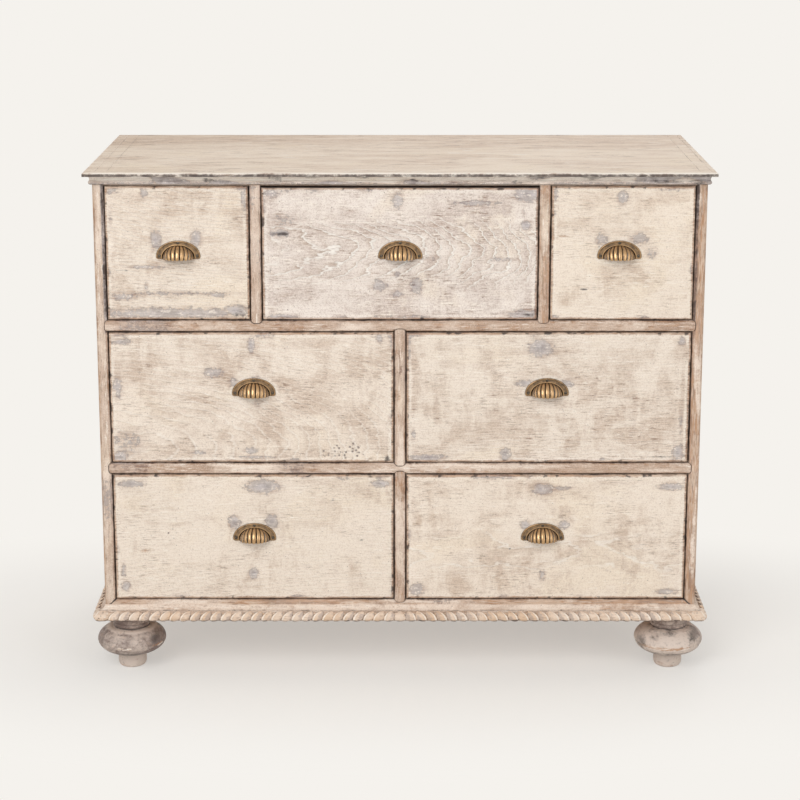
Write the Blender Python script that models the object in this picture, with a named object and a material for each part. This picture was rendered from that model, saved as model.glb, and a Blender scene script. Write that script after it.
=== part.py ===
"""A whitewashed pine chest with seven drawers, rope-carved base moulding, bun feet and fluted cup pulls.

Metres, +Z up. The front faces -Y, the feet stand on z = 0 and the origin is under the middle of the chest.
Every drawer slides along -Y, parented to an empty at the middle of its opening's floor.
"""

import math

import bmesh
import bpy
from mathutils import Vector

# Gaps between pieces
JOINT_GAP = 0.0003
DRAWER_REVEAL = 0.002
RUNNING_GAP = 0.0004
BOX_REAR_GAP = 0.008
OVERCUT = 0.004

# Carcass and face frame
CARCASS_WIDTH = 1.138
CARCASS_DEPTH = 0.496
FRAME_THICKNESS = 0.020
STILE_WIDTH = 0.0205
RAIL_HEIGHT = 0.0212
BOTTOM_RAIL_HEIGHT = 0.0185
TOP_RAIL_HEIGHT = 0.0123
MUNTIN_WIDTH = 0.0206
SIDE_THICKNESS = 0.020
PARTITION_THICKNESS = 0.018
BACK_THICKNESS = 0.006
BACK_RECESS = 0.003
DUST_PANEL_THICKNESS = 0.012

# Rounded faces of the frame, and the tongues where one member laps another
FRAME_CROWN = 0.006
CROWN_ROUNDNESS_SHARE = 0.8
CROWN_STEPS = 8
TONGUE_LENGTH = 0.0055
TONGUE_DEPTH = 0.0085
TONGUE_STEPS = 4
TONGUE_TIP_SHARE = 0.3

# Drawer openings
BOTTOM_OPENING_HEIGHT = 0.2525
MIDDLE_OPENING_HEIGHT = 0.2566
TOP_OPENING_HEIGHT = 0.2565
NARROW_OPENING_WIDTH = 0.2696

# Top board and the moulding under its overhang
TOP_THICKNESS = 0.0137
TOP_LIP_THICKNESS = 0.0072
TOP_FRONT_OVERHANG = 0.024
TOP_SIDE_OVERHANG = 0.0145
TOP_EDGE_ROUND = 0.002
CORNICE_HEIGHT = 0.0171
CORNICE_COVE_PROJECTION = 0.0085
CORNICE_FILLET_PROJECTION = 0.0034
CORNICE_BEAD_RADIUS = 0.0043
CORNICE_BEAD_STEPS = 6
CORNICE_COVE_STEPS = 4

# Base board and its rope-carved moulding
BASE_THICKNESS = 0.0203
BASE_PROJECTION = 0.010
BASE_ARRIS = 0.0012
ROPE_RADIUS = 0.0102
ROPE_PROJECTION = 0.0125
ROPE_PITCH = 0.0196
ROPE_LEAN = 0.015
ROPE_CARVE_DEPTH = 0.0024
ROPE_KNUCKLE = 0.030
ROPE_ARC_STEPS = 4
ROPE_LEAN_STRANDS = 3

# Bun feet
FOOT_HEIGHT = 0.1085
FOOT_COLLAR_RADIUS = 0.036
FOOT_COLLAR_HEIGHT = 0.027
FOOT_NECK_RADIUS = 0.0335
BUN_RADIUS = 0.0662
BUN_HEIGHT = 0.0500
BUN_TOP_RADIUS = 0.040
BUN_FULLNESS_SHARE = 0.86
BUN_STEPS = 8
STUB_HEIGHT = 0.0305
STUB_RADIUS = 0.0275
STUB_TOE_RADIUS = 0.0205
STUB_TOE_SHARES = ((0.67, 0.25), (1.0, 1.0))
FOOT_SIDES = 20
FOOT_INSET = 0.0445
FOOT_REAR_INSET = 0.068

# Drawers
FRONT_THICKNESS = 0.020
FRONT_SETBACK = 0.001
FRONT_ARRIS = 0.003
FRONT_ARRIS_STEPS = 2
FRONT_REBATE_DEPTH = 0.009
BOX_SIDE_THICKNESS = 0.012
BOX_BACK_THICKNESS = 0.012
BOX_BACK_DROP = 0.010
BOX_HEADROOM = 0.024
BOX_BOTTOM_THICKNESS = 0.006
BOX_GROOVE_DEPTH = 0.006
BOX_GROOVE_HEIGHT = 0.012
STOP_WIDTH = 0.040
STOP_DEPTH = 0.012
STOP_HEIGHT = 0.007
STOP_PLACE_SHARE = 0.30

# Cup pulls
PULL_WIDTH = 0.0825
PULL_HEIGHT = 0.0345
PULL_PROJECTION = 0.0225
PULL_END_RISE = 0.0055
PULL_FLANGE_THICKNESS = 0.0018
PULL_FLANGE_CHAMFER = 0.0006
CUP_WIDTH = 0.059
CUP_HEIGHT = 0.0255
CUP_WALL = 0.0018
CUP_TAPER_SHARE = 0.8
CUP_FLANGE_INSET_SHARE = 0.67
CUP_ROWS = 5
CUP_INNER_ROWS = 3
FLUTE_COUNT = 11
FLUTE_DEPTH = 0.0016
FLANGE_ARC_STEPS = 14

# How far each pull sits above its drawer front's middle, and to the right of it
TOP_PULL_RISE = 0.007
MIDDLE_PULL_RISE = 0.0215
BOTTOM_PULL_RISE = 0.011
TOP_LEFT_PULL_SHIFT = 0.0015
TOP_MIDDLE_PULL_SHIFT = 0.0005
TOP_RIGHT_PULL_SHIFT = -0.006
MIDDLE_LEFT_PULL_SHIFT = 0.0037
MIDDLE_RIGHT_PULL_SHIFT = -0.0023
BOTTOM_LEFT_PULL_SHIFT = 0.001
BOTTOM_RIGHT_PULL_SHIFT = -0.0065

# Levels and planes that follow from the sizes above
BASE_UNDERSIDE = FOOT_HEIGHT + JOINT_GAP
CARCASS_BASE = BASE_UNDERSIDE + BASE_THICKNESS + JOINT_GAP
BOTTOM_FLOOR = CARCASS_BASE + BOTTOM_RAIL_HEIGHT
MIDDLE_FLOOR = BOTTOM_FLOOR + BOTTOM_OPENING_HEIGHT + RAIL_HEIGHT
TOP_FLOOR = MIDDLE_FLOOR + MIDDLE_OPENING_HEIGHT + RAIL_HEIGHT
TOP_RAIL_UNDERSIDE = TOP_FLOOR + TOP_OPENING_HEIGHT
CARCASS_TOP = TOP_RAIL_UNDERSIDE + TOP_RAIL_HEIGHT
TOP_UNDERSIDE = CARCASS_TOP + JOINT_GAP
TOP_SURFACE = TOP_UNDERSIDE + TOP_THICKNESS
LIP_UNDERSIDE = TOP_SURFACE - TOP_LIP_THICKNESS

HALF_WIDTH = CARCASS_WIDTH / 2
HALF_OPENING = HALF_WIDTH - STILE_WIDTH
HALF_INSIDE = HALF_WIDTH - SIDE_THICKNESS
FRONT_PLANE = (TOP_FRONT_OVERHANG - CARCASS_DEPTH) / 2
REAR_PLANE = FRONT_PLANE + CARCASS_DEPTH
FRAME_BACK = FRONT_PLANE + FRAME_THICKNESS
BACK_PANEL_FRONT = REAR_PLANE - BACK_RECESS - BACK_THICKNESS
TOP_MUNTIN_X = HALF_OPENING - NARROW_OPENING_WIDTH - MUNTIN_WIDTH / 2
BASE_HALF_WIDTH = HALF_WIDTH + BASE_PROJECTION
BASE_FRONT = FRONT_PLANE - BASE_PROJECTION


# Helpers

def clear_scene():
    for obj in list(bpy.data.objects):
        bpy.data.objects.remove(obj, do_unlink=True)


def make_material(name, colour, roughness, metallic=0.0):
    material = bpy.data.materials.new(name)
    material.use_nodes = True
    shader = material.node_tree.nodes["Principled BSDF"]
    shader.inputs["Base Color"].default_value = (*colour, 1.0)
    shader.inputs["Roughness"].default_value = roughness
    shader.inputs["Metallic"].default_value = metallic
    return material


def add_empty(name, location, parent=None):
    empty = bpy.data.objects.new(name, None)
    empty.location = location
    empty.parent = parent
    bpy.context.scene.collection.objects.link(empty)
    return empty


def add_piece(name, mesh, material, location, parent):
    """One named piece, at a place given from its parent's origin."""
    obj = bpy.data.objects.new(name, mesh)
    if not mesh.materials:
        mesh.materials.append(material)
    obj.location = location
    obj.parent = parent
    bpy.context.scene.collection.objects.link(obj)
    return obj


def finished_mesh(name, bm):
    """Closes a bmesh into a mesh whose faces all point out."""
    bmesh.ops.remove_doubles(bm, verts=bm.verts, dist=JOINT_GAP / 100)
    bmesh.ops.recalc_face_normals(bm, faces=bm.faces)
    mesh = bpy.data.meshes.new(name)
    bm.to_mesh(mesh)
    bm.free()
    return mesh


def lofted_mesh(name, rings):
    """Skins closed rings of points in order, and caps the first and the last."""
    bm = bmesh.new()
    loops = [[bm.verts.new(point) for point in ring] for ring in rings]
    for near, far in zip(loops, loops[1:]):
        for i in range(len(near)):
            j = (i + 1) % len(near)
            bm.faces.new((near[i], near[j], far[j], far[i]))
    bm.faces.new(tuple(reversed(loops[0])))
    bm.faces.new(tuple(loops[-1]))
    return finished_mesh(name, bm)


def box_mesh(name, low, high):
    """A plain board between two corners."""
    bm = bmesh.new()
    bmesh.ops.create_cube(bm, size=1)
    for vert in bm.verts:
        vert.co = Vector(high[i] if vert.co[i] > 0 else low[i] for i in range(3))
    return finished_mesh(name, bm)


def board(name, low, high, material, parent):
    """A board between two corners in the chest's frame, with its origin at its own middle."""
    middle = (Vector(low) + Vector(high)) / 2
    mesh = box_mesh(name, Vector(low) - middle, Vector(high) - middle)
    return add_piece(name, mesh, material, middle, parent)


def combined_mesh(name, first, second, operation):
    """Two meshes joined, or the second cut out of the first."""
    base = bpy.data.objects.new(name, first)
    tool = bpy.data.objects.new(name + "_tool", second)
    for obj in (base, tool):
        bpy.context.scene.collection.objects.link(obj)
    boolean = base.modifiers.new("combine", "BOOLEAN")
    boolean.operation = operation
    boolean.solver = "EXACT"
    boolean.object = tool
    evaluated = base.evaluated_get(bpy.context.evaluated_depsgraph_get())
    mesh = bpy.data.meshes.new_from_object(evaluated)
    mesh.name = name
    for obj in (base, tool):
        bpy.data.objects.remove(obj, do_unlink=True)
    return mesh


def shade_round(mesh, sharp_from=math.radians(40)):
    mesh.shade_smooth()
    mesh.set_sharp_from_angle(angle=sharp_from)
    return mesh


# Face frame: stiles, rails and muntins with rounded faces

def crown_height(across, half):
    """How far the rounded face stands out at a distance from the member's middle line."""
    power = 2 / CROWN_ROUNDNESS_SHARE
    rest = max(0.0, 1 - (abs(across) / half) ** power)
    return FRAME_THICKNESS - FRAME_CROWN + FRAME_CROWN * rest ** (1 / power)


def member_section(half, reach, lowest):
    """Points (across, out) of a member's section, trimmed to a reach to either side."""
    points = [(-reach, lowest), (reach, lowest), (reach, FRAME_THICKNESS - TONGUE_DEPTH)]
    for i in range(CROWN_STEPS + 1):
        angle = math.pi * i / CROWN_STEPS
        turn = math.cos(angle)
        across = reach * math.copysign(abs(turn) ** CROWN_ROUNDNESS_SHARE, turn)
        points.append((across, crown_height(across, half)))
    points.append((-reach, FRAME_THICKNESS - TONGUE_DEPTH))
    return points


def tongue_outline(half, length):
    """Half the tongue's rounded end, seen from the front: (reach to a side, distance out) from the tip back."""
    points = []
    for i in range(TONGUE_STEPS + 1):
        turn = math.pi / 2 * (TONGUE_TIP_SHARE + (1 - TONGUE_TIP_SHARE) * i / TONGUE_STEPS)
        points.append((half * math.sin(turn), length * math.cos(turn)))
    return points


def tongue_sections(half):
    """Sections of the rounded tongue, from its tip back to the shoulder, with their distance out."""
    lowest = FRAME_THICKNESS - TONGUE_DEPTH
    outline = tongue_outline(half, TONGUE_LENGTH)
    return [(out, member_section(half, reach, lowest)) for reach, out in outline]


def member_mesh(name, width, length, upright, low_end="tongue", high_end="tongue"):
    """A frame member about its own middle: square, tongued or mitred at either end."""
    half = width / 2
    full = member_section(half, half, 0.0)

    def ring(section, along, slope=0.0):
        points = []
        for across, out in section:
            place = along + slope * (across + half) / width
            flat = (across, -out, place) if upright else (place, -out, across)
            points.append(flat)
        return points

    rings = []
    if low_end == "tongue":
        rings += [ring(section, -length / 2 - out) for out, section in tongue_sections(half)]
    rings.append(ring(full, -length / 2, low_end if isinstance(low_end, float) else 0.0))
    rings.append(ring(full, length / 2, high_end if isinstance(high_end, float) else 0.0))
    if high_end == "tongue":
        rings += [ring(section, length / 2 + out) for out, section in reversed(tongue_sections(half))]
    return lofted_mesh(name, rings)


def tongue_pocket(width, shoulder, upright, direction, place):
    """The pocket that a neighbour's tongue lies in, as a cutter in the cut member's own frame."""
    half = width / 2 + JOINT_GAP
    end = tongue_outline(half, TONGUE_LENGTH + 2 * JOINT_GAP)
    outline = [(-half, -OVERCUT), (half, -OVERCUT)]
    outline += list(reversed(end))
    outline += [(-reach, out) for reach, out in end]
    rings = []
    for out in (FRAME_THICKNESS - TONGUE_DEPTH - JOINT_GAP, FRAME_THICKNESS + OVERCUT):
        ring = []
        for across, beyond in outline:
            along = shoulder + direction * beyond
            ring.append((place + across, -out, along) if upright else (along, -out, place + across))
        rings.append(ring)
    return lofted_mesh("pocket", rings)


def row_openings():
    """The drawers' openings: name, left edge, right edge, floor, height, pull rise and pull shift."""
    half_muntin = MUNTIN_WIDTH / 2
    inner = TOP_MUNTIN_X - half_muntin
    outer = TOP_MUNTIN_X + half_muntin
    top = (TOP_FLOOR, TOP_OPENING_HEIGHT, TOP_PULL_RISE)
    middle = (MIDDLE_FLOOR, MIDDLE_OPENING_HEIGHT, MIDDLE_PULL_RISE)
    bottom = (BOTTOM_FLOOR, BOTTOM_OPENING_HEIGHT, BOTTOM_PULL_RISE)
    return [
        ("drawer_top_left", -HALF_OPENING, -outer, *top, TOP_LEFT_PULL_SHIFT),
        ("drawer_top_middle", -inner, inner, *top, TOP_MIDDLE_PULL_SHIFT),
        ("drawer_top_right", outer, HALF_OPENING, *top, TOP_RIGHT_PULL_SHIFT),
        ("drawer_middle_left", -HALF_OPENING, -half_muntin, *middle, MIDDLE_LEFT_PULL_SHIFT),
        ("drawer_middle_right", half_muntin, HALF_OPENING, *middle, MIDDLE_RIGHT_PULL_SHIFT),
        ("drawer_bottom_left", -HALF_OPENING, -half_muntin, *bottom, BOTTOM_LEFT_PULL_SHIFT),
        ("drawer_bottom_right", half_muntin, HALF_OPENING, *bottom, BOTTOM_RIGHT_PULL_SHIFT),
    ]


def build_stiles(material, parent):
    """Both stiles, mitred to the bottom rail and pocketed for the tongues of the other two rails."""
    length = CARCASS_TOP - CARCASS_BASE
    middle_z = (CARCASS_TOP + CARCASS_BASE) / 2
    for side, label in ((-1, "left"), (1, "right")):
        mesh = member_mesh(f"stile_{label}", STILE_WIDTH, length, True, 0.0, 0.0)
        rise = BOTTOM_RAIL_HEIGHT / 2
        for vert in mesh.vertices:
            if vert.co.z < 0:
                vert.co.z += rise - side * vert.co.x / (STILE_WIDTH / 2) * rise
        shoulder = -side * STILE_WIDTH / 2
        for floor in (MIDDLE_FLOOR, TOP_FLOOR):
            place = floor - RAIL_HEIGHT / 2 - middle_z
            pocket = tongue_pocket(RAIL_HEIGHT, shoulder, False, side, place)
            mesh = combined_mesh(mesh.name, mesh, pocket, "DIFFERENCE")
        x = side * (HALF_WIDTH - STILE_WIDTH / 2)
        add_piece(f"stile_{label}", shade_round(mesh), material, (x, FRAME_BACK, middle_z), parent)


def build_rails(material, parent):
    """The upper and lower rails, the mitred bottom rail and the plain top rail behind the moulding."""
    length = 2 * (HALF_OPENING - JOINT_GAP)
    half_rail = RAIL_HEIGHT / 2
    cuts = {
        "rail_upper": [(-TOP_MUNTIN_X, 1), (TOP_MUNTIN_X, 1), (0.0, -1)],
        "rail_lower": [(0.0, 1), (0.0, -1)],
    }
    for name, floor in (("rail_upper", TOP_FLOOR), ("rail_lower", MIDDLE_FLOOR)):
        mesh = member_mesh(name, RAIL_HEIGHT, length, False)
        for x, face in cuts[name]:
            pocket = tongue_pocket(MUNTIN_WIDTH, face * half_rail, True, -face, x)
            mesh = combined_mesh(name, mesh, pocket, "DIFFERENCE")
        place = (0.0, FRAME_BACK, floor - half_rail)
        add_piece(name, shade_round(mesh), material, place, parent)

    mesh = member_mesh("rail_bottom", BOTTOM_RAIL_HEIGHT, 2 * HALF_WIDTH, False, 0.0, 0.0)
    half_height = BOTTOM_RAIL_HEIGHT / 2
    for vert in mesh.vertices:
        share = (vert.co.z + half_height) / BOTTOM_RAIL_HEIGHT
        inward = share * STILE_WIDTH + 2 * JOINT_GAP
        vert.co.x -= math.copysign(inward, vert.co.x)
    pocket = tongue_pocket(MUNTIN_WIDTH, half_height, True, -1, 0.0)
    mesh = combined_mesh("rail_bottom", mesh, pocket, "DIFFERENCE")
    place = (0.0, FRAME_BACK, BOTTOM_FLOOR - half_height)
    add_piece("rail_bottom", shade_round(mesh), material, place, parent)

    low = (-HALF_OPENING + JOINT_GAP, FRONT_PLANE, TOP_RAIL_UNDERSIDE)
    high = (HALF_OPENING - JOINT_GAP, FRAME_BACK, CARCASS_TOP)
    board("rail_top", low, high, material, parent)


def build_muntins(material, parent):
    """The upright between each pair of neighbouring drawers, tongued over the rails it meets."""
    places = (
        ("muntin_top_left", -TOP_MUNTIN_X, TOP_FLOOR, TOP_OPENING_HEIGHT, 0.0),
        ("muntin_top_right", TOP_MUNTIN_X, TOP_FLOOR, TOP_OPENING_HEIGHT, 0.0),
        ("muntin_middle", 0.0, MIDDLE_FLOOR, MIDDLE_OPENING_HEIGHT, "tongue"),
        ("muntin_bottom", 0.0, BOTTOM_FLOOR, BOTTOM_OPENING_HEIGHT, "tongue"),
    )
    for name, x, floor, height, high_end in places:
        length = height - 2 * JOINT_GAP
        mesh = member_mesh(name, MUNTIN_WIDTH, length, True, "tongue", high_end)
        add_piece(name, shade_round(mesh), material, (x, FRAME_BACK, floor + height / 2), parent)


# Carcass boards

def build_sides_and_back(material, back_material, parent):
    """The side panels behind the stiles, and the thin back let in between them."""
    for side, label in ((-1, "left"), (1, "right")):
        inner = side * HALF_INSIDE
        outer = side * HALF_WIDTH
        low = (min(inner, outer), FRAME_BACK + JOINT_GAP, CARCASS_BASE)
        high = (max(inner, outer), REAR_PLANE, CARCASS_TOP)
        board(f"side_panel_{label}", low, high, material, parent)
    low = (-HALF_INSIDE + JOINT_GAP, BACK_PANEL_FRONT, CARCASS_BASE)
    high = (HALF_INSIDE - JOINT_GAP, BACK_PANEL_FRONT + BACK_THICKNESS, CARCASS_TOP)
    board("back_panel", low, high, back_material, parent)


def stop_blocks(name, mesh, floor, openings):
    """Joins two stop blocks a drawer to the panel, just behind where its front comes to rest."""
    front = FRONT_PLANE + FRONT_SETBACK + FRONT_THICKNESS + JOINT_GAP
    for _, left, right, row_floor, *_ in openings:
        if row_floor != floor:
            continue
        for share in (STOP_PLACE_SHARE, 1 - STOP_PLACE_SHARE):
            x = left + (right - left) * share
            low = (x - STOP_WIDTH / 2, front, floor - STOP_HEIGHT)
            high = (x + STOP_WIDTH / 2, front + STOP_DEPTH, floor + STOP_HEIGHT)
            mesh = combined_mesh(name, mesh, box_mesh("stop", low, high), "UNION")
    return mesh


def build_dust_panels(material, parent):
    """The boards that each row of drawers runs on, with the drawers' stops."""
    openings = row_openings()
    front = FRAME_BACK + JOINT_GAP
    rear = BACK_PANEL_FRONT - JOINT_GAP
    reach = HALF_INSIDE - JOINT_GAP
    panels = (
        ("dust_panel_upper", TOP_FLOOR, DUST_PANEL_THICKNESS),
        ("dust_panel_lower", MIDDLE_FLOOR, DUST_PANEL_THICKNESS),
        ("bottom_panel", BOTTOM_FLOOR, BOTTOM_RAIL_HEIGHT),
    )
    for name, floor, thickness in panels:
        mesh = box_mesh(name, (-reach, front, floor - thickness), (reach, rear, floor))
        mesh = stop_blocks(name, mesh, floor, openings)
        add_piece(name, mesh, material, (0.0, 0.0, 0.0), parent)


def build_partitions(material, parent):
    """The upright boards behind the muntins, which guide the drawers on either side."""
    rows = (
        ("partition_top_left", -TOP_MUNTIN_X, TOP_FLOOR, CARCASS_TOP),
        ("partition_top_right", TOP_MUNTIN_X, TOP_FLOOR, CARCASS_TOP),
        ("partition_middle", 0.0, MIDDLE_FLOOR, TOP_FLOOR - DUST_PANEL_THICKNESS),
        ("partition_bottom", 0.0, BOTTOM_FLOOR, MIDDLE_FLOOR - DUST_PANEL_THICKNESS),
    )
    half = PARTITION_THICKNESS / 2
    rear = BACK_PANEL_FRONT - JOINT_GAP
    for name, x, floor, ceiling in rows:
        low = (x - half, FRAME_BACK + JOINT_GAP, floor + JOINT_GAP)
        high = (x + half, rear, ceiling - JOINT_GAP)
        board(name, low, high, material, parent)


# Top board and the moulding below it

def rectangle_ring(half_width, front, rear, z):
    return [(-half_width, front, z), (half_width, front, z), (half_width, rear, z), (-half_width, rear, z)]


def build_top_board(material, parent):
    """The top, rebated below round its front and ends so that its overhanging lip is thin."""
    half = HALF_WIDTH + TOP_SIDE_OVERHANG
    front = FRONT_PLANE - TOP_FRONT_OVERHANG
    soft = TOP_EDGE_ROUND
    rings = [
        rectangle_ring(HALF_WIDTH, FRONT_PLANE, REAR_PLANE, TOP_UNDERSIDE),
        rectangle_ring(HALF_WIDTH, FRONT_PLANE, REAR_PLANE, LIP_UNDERSIDE),
        rectangle_ring(half - soft, front + soft, REAR_PLANE, LIP_UNDERSIDE),
        rectangle_ring(half, front, REAR_PLANE, LIP_UNDERSIDE + soft),
        rectangle_ring(half, front, REAR_PLANE, TOP_SURFACE - soft),
        rectangle_ring(half - soft, front + soft, REAR_PLANE, TOP_SURFACE),
    ]
    lift = Vector((0.0, 0.0, TOP_UNDERSIDE))
    rings = [[Vector(point) - lift for point in ring] for ring in rings]
    add_piece("top_board", lofted_mesh("top_board", rings), material, lift, parent)


def cornice_section():
    """Points (projection, height) of the cove and bead under the top board's lip."""
    radius = CORNICE_BEAD_RADIUS
    bead_x = CORNICE_FILLET_PROJECTION
    points = [(0.0, 0.0)]
    for i in range(CORNICE_BEAD_STEPS + 1):
        angle = -math.pi / 2 + math.pi * i / CORNICE_BEAD_STEPS
        points.append((bead_x - radius / 2 + radius * math.cos(angle), radius + radius * math.sin(angle)))
    cove_low = 2 * radius
    cove_height = CORNICE_HEIGHT - cove_low
    cove_reach = CORNICE_COVE_PROJECTION - bead_x
    for i in range(CORNICE_COVE_STEPS + 1):
        angle = math.pi / 2 * i / CORNICE_COVE_STEPS
        out = bead_x + cove_reach * (1 - math.cos(angle))
        points.append((out, cove_low + cove_height * math.sin(angle)))
    points.append((0.0, CORNICE_HEIGHT))
    return points


def build_cornice(material, parent):
    """The moulding under the lip: a mitred front length and two returns along the sides."""
    bottom = LIP_UNDERSIDE - JOINT_GAP - CORNICE_HEIGHT
    section = cornice_section()
    mitre = JOINT_GAP * math.sqrt(2)
    wall = HALF_WIDTH + JOINT_GAP
    rings = []
    for side in (-1, 1):
        ring = []
        for out, up in section:
            ring.append((side * (wall + out), -out, up))
        rings.append(ring)
    place = (0.0, FRONT_PLANE - JOINT_GAP, bottom)
    add_piece("cornice_front", shade_round(lofted_mesh("cornice_front", rings)), material, place, parent)
    for side, label in ((-1, "left"), (1, "right")):
        front_ring = [(side * out, mitre - out, up) for out, up in section]
        rear_ring = [(side * out, REAR_PLANE - FRONT_PLANE, up) for out, up in section]
        mesh = shade_round(lofted_mesh(f"cornice_{label}", [front_ring, rear_ring]))
        place = (side * wall, FRONT_PLANE, bottom)
        add_piece(f"cornice_{label}", mesh, material, place, parent)


# Base board, rope moulding and feet

def build_base_board(material, parent):
    """The board that the carcass stands on, standing out a little at the front and ends."""
    arris = BASE_ARRIS
    rings = [
        rectangle_ring(BASE_HALF_WIDTH, BASE_FRONT, REAR_PLANE, 0.0),
        rectangle_ring(BASE_HALF_WIDTH, BASE_FRONT, REAR_PLANE, BASE_THICKNESS - arris),
        rectangle_ring(BASE_HALF_WIDTH - arris, BASE_FRONT + arris, REAR_PLANE, BASE_THICKNESS),
    ]
    add_piece("base_board", lofted_mesh("base_board", rings), material, (0.0, 0.0, BASE_UNDERSIDE), parent)


def rope_ring(along, lean, radius):
    """One line of the carving round the half-round face: (along, projection, height) points."""
    neck = ROPE_PROJECTION - ROPE_RADIUS
    points = [(along - lean / 2, 0.0, radius)]
    for i in range(ROPE_ARC_STEPS + 1):
        share = i / ROPE_ARC_STEPS
        angle = math.pi / 2 - math.pi * share
        out = neck + radius * math.cos(angle)
        points.append((along + lean * (share - 1 / 2), out, radius * math.sin(angle)))
    points.append((along + lean / 2, 0.0, -radius))
    return points


def strand_rings(first, strands, easing):
    """Hollow and crest lines of a run of strands that starts at a place and leans ever further over."""
    rings = []
    for line in range(2 * strands + 1):
        lean = ROPE_LEAN * min(1.0, line / easing) if easing else ROPE_LEAN
        hollow = line % 2 == 0
        radius = ROPE_RADIUS - ROPE_CARVE_DEPTH if hollow else ROPE_RADIUS
        rings.append(rope_ring(first + line * ROPE_PITCH / 2, lean, radius))
    return rings


def rope_mesh(name, rings, place):
    return shade_round(lofted_mesh(name, [[place(*point) for point in ring] for ring in rings]))


def build_rope(material, parent):
    """The carved half-round on the base board's edge, its twist mirrored about the middle."""
    middle_z = BASE_UNDERSIDE + BASE_THICKNESS / 2
    half_length = BASE_HALF_WIDTH + JOINT_GAP
    strands = int((half_length - ROPE_KNUCKLE - ROPE_LEAN) / ROPE_PITCH)
    right = strand_rings(0.0, strands, 2 * ROPE_LEAN_STRANDS)
    knuckle_start = strands * ROPE_PITCH + ROPE_LEAN
    right.append(rope_ring(knuckle_start, 0.0, ROPE_RADIUS))
    end = rope_ring(half_length, 0.0, ROPE_RADIUS)
    right.append([(along + out, out, up) for along, out, up in end])
    left = [[(-along, out, up) for along, out, up in ring] for ring in reversed(right[1:])]
    mesh = rope_mesh("rope_moulding_front", left + right, lambda along, out, up: (along, -out, up))
    place = (0.0, BASE_FRONT - JOINT_GAP, middle_z)
    add_piece("rope_moulding_front", mesh, material, place, parent)

    mitre = JOINT_GAP * math.sqrt(2)
    length = REAR_PLANE - BASE_FRONT
    strands = int((length - ROPE_KNUCKLE - 2 * ROPE_LEAN) / ROPE_PITCH)
    start = ROPE_KNUCKLE + ROPE_LEAN
    corner = rope_ring(0.0, 0.0, ROPE_RADIUS)
    rings = [[(mitre + along - out, out, up) for along, out, up in corner]]
    rings.append(rope_ring(start - ROPE_LEAN, 0.0, ROPE_RADIUS))
    rings += strand_rings(start, strands, 0)
    rings.append(rope_ring(length, 0.0, ROPE_RADIUS))
    for side, label in ((-1, "left"), (1, "right")):
        name = f"rope_moulding_{label}"
        mesh = rope_mesh(name, rings, lambda along, out, up: (side * out, along, up))
        place = (side * half_length, BASE_FRONT, middle_z)
        add_piece(name, mesh, material, place, parent)


def foot_profile():
    """Radius and height of the turned foot, from the floor up to the base board."""
    toe = STUB_RADIUS - STUB_TOE_RADIUS
    points = [(STUB_TOE_RADIUS, 0.0)]
    points += [(STUB_TOE_RADIUS + toe * out, toe * up) for out, up in STUB_TOE_SHARES]
    points.append((STUB_RADIUS, STUB_HEIGHT))
    bun_middle = STUB_HEIGHT + BUN_HEIGHT / 2
    for i in range(BUN_STEPS + 1):
        lowest = -math.acos(STUB_RADIUS / BUN_RADIUS)
        highest = math.acos(BUN_TOP_RADIUS / BUN_RADIUS)
        angle = lowest + (highest - lowest) * i / BUN_STEPS
        lift = math.sin(angle) / math.sin(highest if angle > 0 else -lowest)
        radius = BUN_RADIUS * math.cos(angle) ** BUN_FULLNESS_SHARE
        points.append((radius, bun_middle + BUN_HEIGHT / 2 * lift))
    collar_base = FOOT_HEIGHT - FOOT_COLLAR_HEIGHT
    points.append((FOOT_NECK_RADIUS, collar_base))
    points.append((FOOT_COLLAR_RADIUS, collar_base + (FOOT_COLLAR_RADIUS - FOOT_NECK_RADIUS)))
    points.append((FOOT_COLLAR_RADIUS, FOOT_HEIGHT))
    return points


def build_feet(material, parent):
    """Four turned bun feet under the base board's corners."""
    rings = []
    for radius, z in foot_profile():
        turns = [2 * math.pi * i / FOOT_SIDES for i in range(FOOT_SIDES)]
        rings.append([(radius * math.cos(turn), radius * math.sin(turn), z) for turn in turns])
    mesh = shade_round(lofted_mesh("bun_foot", rings))
    x = HALF_WIDTH - FOOT_INSET
    front = FRONT_PLANE + FOOT_INSET
    rear = REAR_PLANE - FOOT_REAR_INSET
    for name, place in (
        ("foot_front_left", (-x, front, 0.0)),
        ("foot_front_right", (x, front, 0.0)),
        ("foot_rear_left", (-x, rear, 0.0)),
        ("foot_rear_right", (x, rear, 0.0)),
    ):
        add_piece(name, mesh, material, place, parent)


# Cup pull

def cup_point(column, row, rows, wide, deep, tall, dip):
    """A point of the cup: columns run round from end to end, rows from the lip up to the top."""
    turn = math.pi * column / (2 * FLUTE_COUNT) - math.pi / 2
    climb = math.pi / 2 * row / rows
    spread = math.cos(climb) ** CUP_TAPER_SHARE
    shrink = 1 - dip / deep if column % 2 == 0 else 1.0
    flat = spread * shrink
    return (wide * math.sin(turn) * flat, -deep * math.cos(turn) * flat, tall * math.sin(climb))


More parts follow.
